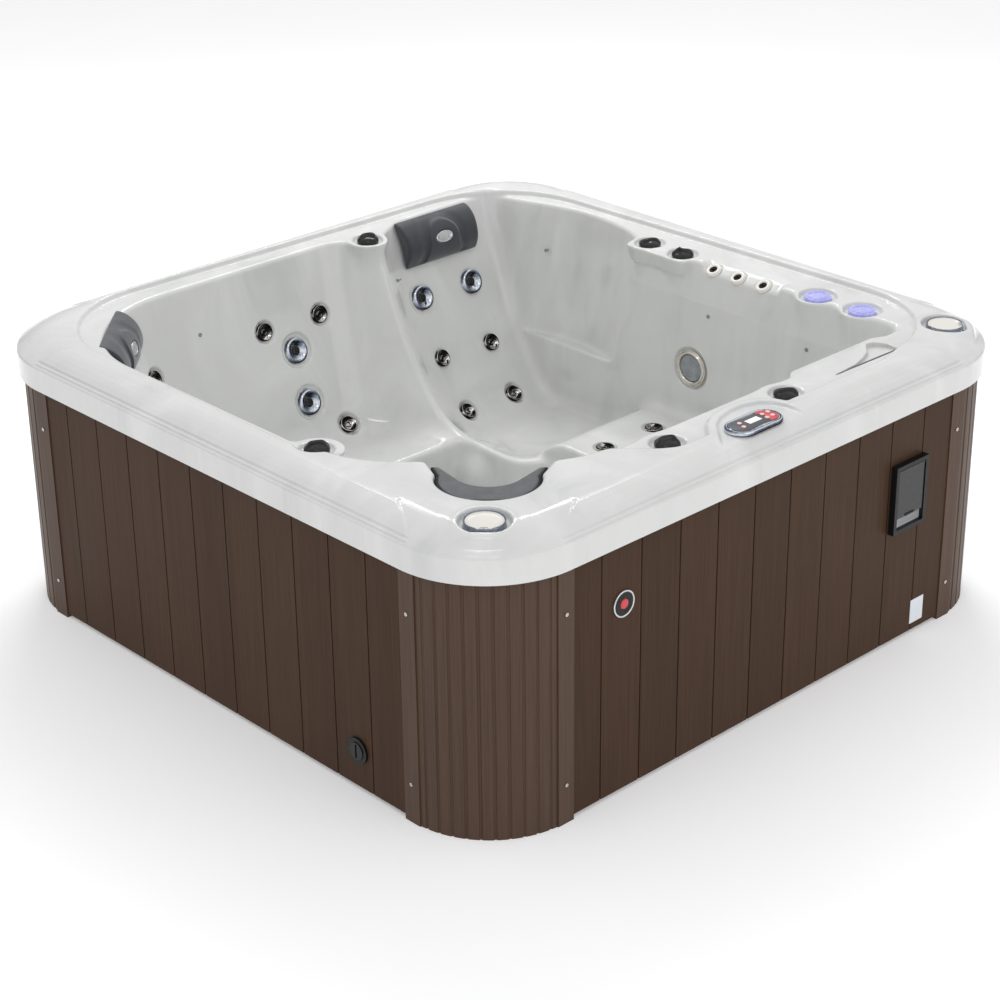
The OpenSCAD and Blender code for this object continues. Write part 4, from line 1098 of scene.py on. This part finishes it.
def plaque(M, name, body):
    """Plain oval plaque in the seat of the tongue."""
    z = 12.0
    ys = np.arange(-70, 10, 0.5).astype(f4)
    d = slab_field(np.zeros_like(ys), ys, np.full_like(ys, z))
    y0 = float(ys[np.nonzero(d < 0)[0][0]])
    g = grad(slab_field, np.array([[0.0, y0, z - 8.0], [0.0, y0, z + 8.0]]), 1.0).mean(0)
    nrm = Vector(g).normalized()
    rot = nrm.to_track_quat("Z", "Y").to_matrix().to_4x4()
    L = T(0, y0, z) @ rot
    prof = curve([(0, -2), (0, -2), (15, -2), (15.6, 0.6), (15.2, 2.0), (14, 2.6), (13, 2.5), (12.6, 1.9), (12.6, 1.9), (0, 2.7), (0, 2.7)], 3)
    pv, pf = lathe(prof, 64)
    pv = [(p[0] * 2.12, p[1] * 1.18, p[2]) for p in pv]
    return piece(name, (pv, pf), "badge", body, M @ L, 50)


def crescent_field(x, y, z):
    """U-shaped head cushion of the round notch, in plan along s (outward) and t."""
    x, y, z = [np.asarray(a, f4) for a in (x, y, z)]
    s, t = (-x - y) * 0.70711, np.abs(x - y) * 0.70711
    sl = 826 - z
    outer = np.minimum(np.hypot(s - 1013, t) - 128.5, smax((t - 120 - (1013 - s) * 0.321) * 0.952, s - 1013, 2)) + 0.05 * sl
    inner = np.minimum(np.hypot(s - 955, t) - 91, smax((t - 79 - (1000 - s) * 0.72) * 0.811, s - 1000, 2)) + 0.10 * sl
    d = smax(outer, -inner, 8)
    top = (z - 826 + (s - 932) * 0.012) * 1.0
    d = smax(d, top, 9)
    d = smax(d, 932 - s + 0.06 * sl, 12)
    return smax(d, 697 - z, 10) + 1.2


M_BACK = T(536.5, lo_y(750), 750) @ Matrix.Diagonal((1.07, 1, 1, 1))
M_LEFT = R("Z", 45) @ T(0, 1124 - (822 - 750) * 0.407, 750)
slab = field_part(slab_field, (-148, -66, -74), (148, 34, 84), 2.0, 0.35)
for name, M in (("cushion_back", M_BACK), ("cushion_left", M_LEFT)):
    o = piece(name + "_pad", slab, "cushion", name, M, None, (name,))
    plaque(M, name + "_plaque", name)


def edge_field(x, y, z):
    """Dark band round the lower outer side of the same cushion, a little wider than its foam."""
    x, y, z = [np.asarray(a, f4) for a in (x, y, z)]
    s, t = (-x - y) * 0.70711, np.abs(x - y) * 0.70711
    outer = np.minimum(np.hypot(s - 1013, t) - 131.0, smax((t - 122.5 - (1013 - s) * 0.321) * 0.952, s - 1013, 2))
    inner = np.minimum(np.hypot(s - 955, t) - 99, smax((t - 87 - (1000 - s) * 0.72) * 0.811, s - 1000, 2))
    d = smax(outer, -inner, 4)
    d = smax(smax(d, z - 822.5, 3), 934 - s, 6)
    return smax(d, 780 - z, 3)


piece("cushion_front_base", field_part(edge_field, (-840, -840, 776), (-540, -540, 826), 2.4, 0.4), "dark_band", "cushion_front", None, None)
o = piece("cushion_front_pad", field_part(crescent_field, (-840, -840, 690), (-540, -540, 830), 2.4, 0.4), "cushion", "cushion_front", None, None, ("cushion_front",))


# ------------------------------------------------------------------ valve knobs
def knob_field(tall, up):
    def F(x, y, z):
        x, y, z = [np.asarray(a, f4) for a in (x, y, z)]
        rad = np.hypot(x, y)
        skirt = smax(smax(rad - 33.4 + np.maximum(z + 3, 0) * 0.5, (z - up * 0.52 + 0.0085 * rad * rad) * 0.9, 4), -11.4 - z, 1.5)
        bend = y - 3.4 * np.sin(x * 0.088)
        half = 10.0 + 6.0 * (x / 33.0) ** 2
        top = up - 0.034 * bend * bend - 0.0045 * x * x
        bar = smax(smax(np.abs(bend) - half + np.maximum(z, 0) * 0.24, (np.abs(x) - 34.2 + np.maximum(z, 0) * 0.85) * 0.8, 5), (z - top) * 0.85, 5)
        bar = smax(smax(bar, rad - 34.8, 4), -6 - z, 2)
        d = smin(skirt, bar, 4)
        # fine groove along the grip
        d = smax(d, 1.6 - np.hypot(bend + 3.0, z - top - 0.3), 1.2)
        if tall:
            fin = smax(smax(np.abs(y + 3) - 6.0, np.abs(x + 4) - 17, 3), (z - 20.5) * 0.84 + np.abs(x + 10) * 0.54, 5)
            fin = smax(fin, -z, 2)
            d = smin(d, fin, 5)
        return d
    return F


hk = 0.95
K_STD = field_part(knob_field(False, 13.5), (-37, -35, -13), (37, 35, 18), hk, 0.30)
K_HIGH = field_part(knob_field(False, 21.0), (-37, -35, -13), (37, 35, 25), hk, 0.30)
K_TALL = field_part(knob_field(True, 13.5), (-37, -35, -13), (37, 35, 25), hk, 0.30)
for i, (kx, ky, ka, tall, _) in enumerate(KNOBS):
    piece("knob_cap_%d" % (i + 1), K_TALL if tall else K_HIGH if i in (0, 4, 5) else K_STD, "knob", "knob_%d" % (i + 1), T(kx, ky, DECK) @ R("Z", (-40, -38, -52, -46, -38, -44)[i]), None, ("knob_%d" % (i + 1),))

# ------------------------------------------------------------------ jets
def swirl(r0, r1, amp, blades, twist):
    def w(r, z, a):
        k = math.sin(math.pi * min(max((r - r0) / (r1 - r0), 0), 1))
        s = (blades * (a + twist * r)) / (2 * math.pi) % 1.0
        return r, z + amp * k * (s - 0.5)
    return w


BIG_PROF = curve([(0, -11.6), (0, -11.6), (36.8, -11.6), (36.8, -11.6), (37, -3.4), (36.6, -0.6), (34.6, 2.2), (31, 3.4), (27, 2.6), (23, -0.4), (19, -4.6), (16, -8.0), (14.8, -9.6), (14.8, -9.6), (0, -9.6), (0, -9.6)], 4)
EYE_PROF = curve([(0, -10.5), (0, -10.5), (14.2, -10.5), (14.2, -10.5), (14.0, -7.0), (11.6, -4.6), (8, -3.6), (0, -3.3), (0, -3.3)], 4)
NOZ = curve([(2.6, -6), (2.6, -6), (2.9, -1.6), (3.8, -1.0), (4.7, -1.7), (5.0, -6), (5.0, -6)], 3)
for i, M in enumerate(BIG_M):
    body = "big_jet_%d" % (i + 1)
    piece("jet_bezel_%d" % (i + 1), moved(lathe(BIG_PROF, 96, swirl(14.8, 32, 0.9, 6, 0.10)), Matrix.Diagonal((1.08, 1.08, 1, 1))), "bright", body, M, 50, (body,))
    eye = join([lathe(EYE_PROF, 48, swirl(2, 14.3, 0.8, 6, 0.12))] + [moved(lathe(NOZ, 32), T(0, sy, 0) @ R("X", 0)) for sy in (5.0, -5.0)])
    piece("jet_eye_%d" % (i + 1), moved(eye, Matrix.Diagonal((1.06, 1.06, 1, 1))), "gloss", body, M, 50)

SMALL_PROF = curve([(0, -9.7), (0, -9.7), (26.8, -9.7), (26.8, -9.7), (27, -2.6), (26.4, 0.2), (24.6, 1.4), (22.4, 0.8), (19, -2.2), (14.5, -5.2), (11.0, -6.4), (9.6, -6.2), (9.2, -3.6), (8.2, -2.4), (6.4, -2.6), (5.4, -4.0), (5.0, -8.4), (5.0, -8.4), (0, -8.4), (0, -8.4)], 4)
small = join([moved(lathe(SMALL_PROF, 72, swirl(9.6, 25, 0.9, 7, 0.12)), M @ Matrix.Diagonal((1.06, 1.06, 1, 1))) for M in SMALL_M])
o = piece("small_jet_faces", small, "darkchrome", "cabinet", None, 50, ("small_jets",))
# no mirrored jet images in the tight folds of the shell
for q in [o] + [bpy.data.objects[n] for n in list(bpy.data.objects.keys()) if n.startswith("jet_bezel_") or n.startswith("jet_eye_")]:
    q.visible_glossy = False

NECK_PROF = curve([(12.4, -5.6), (12.4, -5.6), (23.6, -5.6), (23.6, -5.6), (24, -2), (23.4, 0.2), (22.6, 0.8), (23.2, 1.6), (22.6, 4.4), (19.8, 6.6), (16.4, 6.8), (13.6, 5.4), (12.4, 3.0), (12.4, 3.0), (12.4, -5.6)], 4)[:-1]
piece("neck_jet_collars", join([moved(lathe(NECK_PROF, 64), on_facet(y)) for y in NECK]), "collar", "cabinet", None, 50, ("neck_jets",))
NCORE = curve([(0, -5.4), (0, -5.4), (12.3, -5.4), (12.3, -5.4), (12.3, 2.6), (11.4, 3.2), (9.6, 2.0), (8.6, 0.6), (7.4, 2.2), (5.6, 3.0), (4.6, 2.2), (4.2, -3.0), (4.2, -3.0), (0, -3.0), (0, -3.0)], 4)
piece("neck_jet_cores", join([moved(lathe(NCORE, 48), on_facet(y)) for y in NECK]), "gloss", "cabinet", None, 50)

# ------------------------------------------------------------------ underwater light
M_LAMP = on_side(776.4, *LAMP)
RING_PROF = curve([(44, -7.6), (44, -7.6), (60.6, -7.6), (60.6, -7.6), (61, -1.5), (60.2, 0.8), (58.4, 1.6), (56.4, 1.0), (55.4, 0.2), (54.4, 1.4), (52.4, 3.8), (49.8, 4.4), (47.2, 3.4), (45.2, 1.4), (44, -0.6), (44, -0.6), (44, -7.6)], 4)[:-1]
piece("lamp_bezel", lathe(RING_PROF, 96), "nickel", "cabinet", M_LAMP, 50, ("light_ring",))


def prismatic(r, pitch, z0, zb, zt):
    """Disc with a field of small four-sided prisms."""
    v, f = [], []
    n = int(r * 2 / pitch) + 2
    idx = {}
    def vert(i, j):
        x, y = (i - n / 2) * pitch, (j - n / 2) * pitch
        key = (i, j)
        if key not in idx:
            d = math.hypot(x, y)
            if d > r - 0.4:
                x, y = x * (r - 0.4) / d, y * (r - 0.4) / d
            idx[key] = len(v)
            v.append((x, y, zb))
        return idx[key]
    edge = {}
    for i in range(n):
        for j in range(n):
            cx, cy = (i + 0.5 - n / 2) * pitch, (j + 0.5 - n / 2) * pitch
            if math.hypot(cx, cy) > r - pitch * 0.55:
                continue
            q = [vert(i, j), vert(i + 1, j), vert(i + 1, j + 1), vert(i, j + 1)]
            top = len(v)
            v.append((cx, cy, zt))
            for a, b in zip(q, q[1:] + q[:1]):
                f.append((a, b, top))
                edge[(a, b)] = edge.get((a, b), 0) + 1
    rim = [(a, b) for (a, b) in edge if (b, a) not in edge]
    base = len(v)
    low = {}
    for a, b in rim:
        for k in (a, b):
            if k not in low:
                low[k] = len(v)
                x, y, _ = v[k]
                d = math.hypot(x, y)
                v.append((x * (r - 0.1) / d, y * (r - 0.1) / d, z0))
    c = len(v)
    v.append((0, 0, z0))
    for a, b in rim:
        f.append((b, a, low[a], low[b]))
        f.append((c, low[b], low[a]))
    return v, f


piece("lamp_lens", moved(prismatic(43.6, 3.1, -7.0, -0.6, 0.9), R("Z", 45)), "lens", "cabinet", M_LAMP, 20, ("light_lens",))

# ------------------------------------------------------------------ filter lids under film
LID_PROF = curve([(0, -76), (0, -76), (13.8, -76), (13.8, -76), (13.8, -28), (13.8, -28), (34.8, -28), (34.8, -28), (34.8, -13.8), (34.8, -13.8), (40.0, -13.8), (40.0, -13.8), (40.4, -5), (39.6, -2.6), (37.8, -1.8), (33.4, -2.0), (32.2, -0.4), (31, 0.4), (28.6, 0.4), (27.4, -0.6), (26.4, -1.8), (18, -1.4), (8, -1.0), (0, -0.9), (0, -0.9)], 4)
for i, (lx, ly) in enumerate(LIDS):
    body = "filter_%d" % (i + 1)
    ph = 1.7 * i
    wrinkle = lambda r, z, a, ph=ph: (r, z + (0.35 * math.sin(3 * a + ph) + 0.25 * math.sin(7 * a + 2.1 * ph + r * 0.2)) * min(1, r / 30) * (1 if z > -3 else 0))
    piece("lid_film_%d" % (i + 1), lathe(LID_PROF, 84, wrinkle), "film", body, T(lx, ly, DECK), 60, ("filter_lid_%d" % (i + 1),))

# ------------------------------------------------------------------ cup inserts
CUP_WALL = curve([(42.0, 760), (42.0, 760), (48.2, 756), (48.2, 756), (48.2, 822.6), (48.2, 822.6), (52.6, 822.6), (52.6, 822.6), (53, 826), (52.4, 833), (51.6, 837.6), (50.8, 838.6), (50.0, 837.6), (49.2, 832), (48.6, 827), (47.0, 824), (45.2, 820), (45.2, 820), (42.0, 760)], 3)[:-1]


def cup_notch(r, z, a):
    """Finger notch at the outward side of the wall."""
    d = abs((a - NOTCH + math.pi) % (2 * math.pi) - math.pi)
    k = 1 - min(max((d - 0.26) / 0.16, 0), 1)
    if z > 829 and k > 0:
        z = z - (z - 829) * k * 0.92
    return r, z


for i, (cx, cy) in enumerate(CUPS):
    body = ("cup_left", "cup_right")[i]
    NOTCH = math.radians(-135 if i == 0 else -45)
    M = T(cx, cy, 0)
    piece(body + "_wall", lathe(CUP_WALL, 96, cup_notch), "clear", body, M, 40, (("cup_insert_left", "cup_insert_right")[i],))
    disc = curve([(0, 824.6), (0, 824.6), (43.8, 824.8), (43.8, 824.8), (46.6, 830.0), (47.8, 834.6), (47.2, 836.2), (45.6, 836.0), (42.6, 834.8), (38, 834.0), (20, 833.7), (0, 833.6), (0, 833.6)], 4)
    piece(body + "_disc", lathe(disc, 84), "cup", body, M, 40)
    latch = prism([(39, -8), (48.4, -13), (48.4, 13), (39, 8)], 826.0, 837.4, 1.0)
    piece(body + "_latch", moved(latch, M @ R("Z", math.degrees(NOTCH))), "clear", body, None, 40)

# ------------------------------------------------------------------ keypad
KP = T(-16, -968, 0)
oval = stadium(184, 92, 26)


def ring_part(outline, prof):
    """Closed ring swept along an outline with a loop profile of (inset, z)."""
    o = np.array(outline, float)
    n = len(o)
    e1 = o - np.roll(o, 1, 0); e2 = np.roll(o, -1, 0) - o
    nn = np.stack([e1[:, 1], -e1[:, 0]], 1) / np.maximum(np.linalg.norm(e1, axis=1), 1e-9)[:, None] + np.stack([e2[:, 1], -e2[:, 0]], 1) / np.maximum(np.linalg.norm(e2, axis=1), 1e-9)[:, None]
    nn /= np.maximum(np.linalg.norm(nn, axis=1), 1e-9)[:, None]
    v = [(p[0] - q[0] * d, p[1] - q[1] * d, z) for d, z in prof for p, q in zip(o, nn)]
    m = len(prof)
    f = []
    for k in range(m):
        for i in range(n):
            j = (i + 1) % n
            k2 = (k + 1) % m
            f.append((k * n + i, k * n + j, k2 * n + j, k2 * n + i))
    return v, f


def dedupe(pts):
    out = [pts[0]]
    for p in pts[1:]:
        if math.hypot(p[0] - out[-1][0], p[1] - out[-1][1]) > 0.2:
            out.append(p)
    if math.hypot(out[0][0] - out[-1][0], out[0][1] - out[-1][1]) < 0.2:
        out.pop()
    return out


oval = dedupe(oval)
prof = curve([(8.6, 830.2), (8.6, 830.2), (1.5, 830.2), (1.5, 830.2), (0.2, 832), (0.0, 836), (0.8, 839.4), (2.6, 841.6), (4.6, 842.4), (6.4, 842.0), (8.0, 840.6), (8.6, 839.4), (8.6, 839.4), (8.6, 830.2)], 3)[:-1]
piece("keypad_rim", ring_part(oval, prof), "bright", "cabinet", KP, 50, ("keypad_bezel",))
base = prism(dedupe(stadium(166.4, 74.4, 26)), 838.2, 841.4, 0.6)
piece("keypad_plate", base, "bright", "cabinet", KP, 40, ("keypad_face",))


def waist(w, h, pinch, n=64):
    """Stadium outline with its long sides drawn in at the middle."""
    out = []
    for x, y in dedupe(stadium(w, h, 26)):
        out.append((x, y))
    full = []
    for i in range(len(out)):
        a, b = out[i], out[(i + 1) % len(out)]
        k = 10 if abs(a[0] - b[0]) > 20 else 1
        for t in range(k):
            x, y = a[0] + (b[0] - a[0]) * t / k, a[1] + (b[1] - a[1]) * t / k
            full.append((x, y * (1 - pinch * math.cos(math.pi * min(1, abs(x) / (w * 0.36)) / 2) ** 2)))
    return full


face = waist(161, 69, 0.16)
piece("keypad_overlay", prism(face, 841.2, 842.3, 0.3), "keyface", "cabinet", KP, 40)
red = [(x, y) for x, y in waist(157, 65, 0.16) if x > 30]
red = sorted(red, key=lambda p: math.atan2(p[1], p[0] - 60))
redz = [(x, y) for x, y in red if x > 36]
inner_edge = [(36 + 9 * math.cos(math.radians(a)) - 0, 24 * math.sin(math.radians(a))) for a in range(70, -71, -14)]
piece("keypad_zone", prism(redz + inner_edge, 842.0, 842.75, 0.2), "red", "cabinet", KP, 40)
led = lathe(curve([(0, 842.0), (0, 842.0), (2.6, 842.0), (2.6, 843.0), (1.6, 843.9), (0, 844.2), (0, 844.2)], 3), 24)
piece("keypad_led", led, "red", "cabinet", T(-16 - 62, -968 - 16, 0), 50)

# ------------------------------------------------------------------ plain round badge of the front panel
MB = T(-572, -1041, 548) @ R("X", 90)
BADGE = curve([(0, 0), (0, 0), (36.6, 0), (36.6, 0), (37, 3.0), (36.2, 4.8), (34.4, 5.4), (32.6, 4.8), (31.8, 3.8), (31.8, 3.8), (0, 3.8), (0, 3.8)], 4)
piece("badge_rim", lathe(BADGE, 72), "badge", "cabinet", MB, 50, ("side_badge",))
BAND = curve([(13.6, 3.6), (13.6, 3.6), (31.6, 3.6), (31.6, 3.6), (31.4, 4.4), (28, 4.7), (24.4, 4.6), (23.8, 5.1), (22.8, 5.1), (22.2, 4.6), (17.0, 4.6), (14.0, 4.4), (13.6, 3.6)], 3)[:-1]
piece("badge_band", lathe(BAND, 72), "black", "cabinet", MB, 50)
BOSS = curve([(0, 3.6), (0, 3.6), (13.4, 3.6), (13.4, 3.6), (13.0, 5.4), (10, 6.3), (5, 6.8), (0, 7.0), (0, 7.0)], 4)
piece("badge_boss", lathe(BOSS, 48), "red", "cabinet", MB, 50)

# ------------------------------------------------------------------ floor
me = bpy.data.meshes.new("floor")
me.from_pydata([(-40, -40, -0.0005), (40, -40, -0.0005), (40, 40, -0.0005), (-40, 40, -0.0005)], [], [(0, 1, 2, 3)])
floor = bpy.data.objects.new("floor", me)
scene.collection.objects.link(floor)
fm = Mat("floor_pale", Specular_IOR_Level=0.1)
fm.set("Base Color", fm.ramp(fm.noise(1.2, 3.0, 0.5), [(0.3, (0.90, 0.90, 0.90)), (0.7, (0.915, 0.915, 0.915))]))
fm.b.inputs["Emission Color"].default_value = (1, 1, 1, 1)
fm.b.inputs["Emission Strength"].default_value = 0.20
fm.set("Roughness", fm.span(fm.noise(30.0, 2.0, 0.5), 0.3, 0.7, 0.7, 0.85))
me.materials.append(fm.m)

bpy.context.view_layer.update()
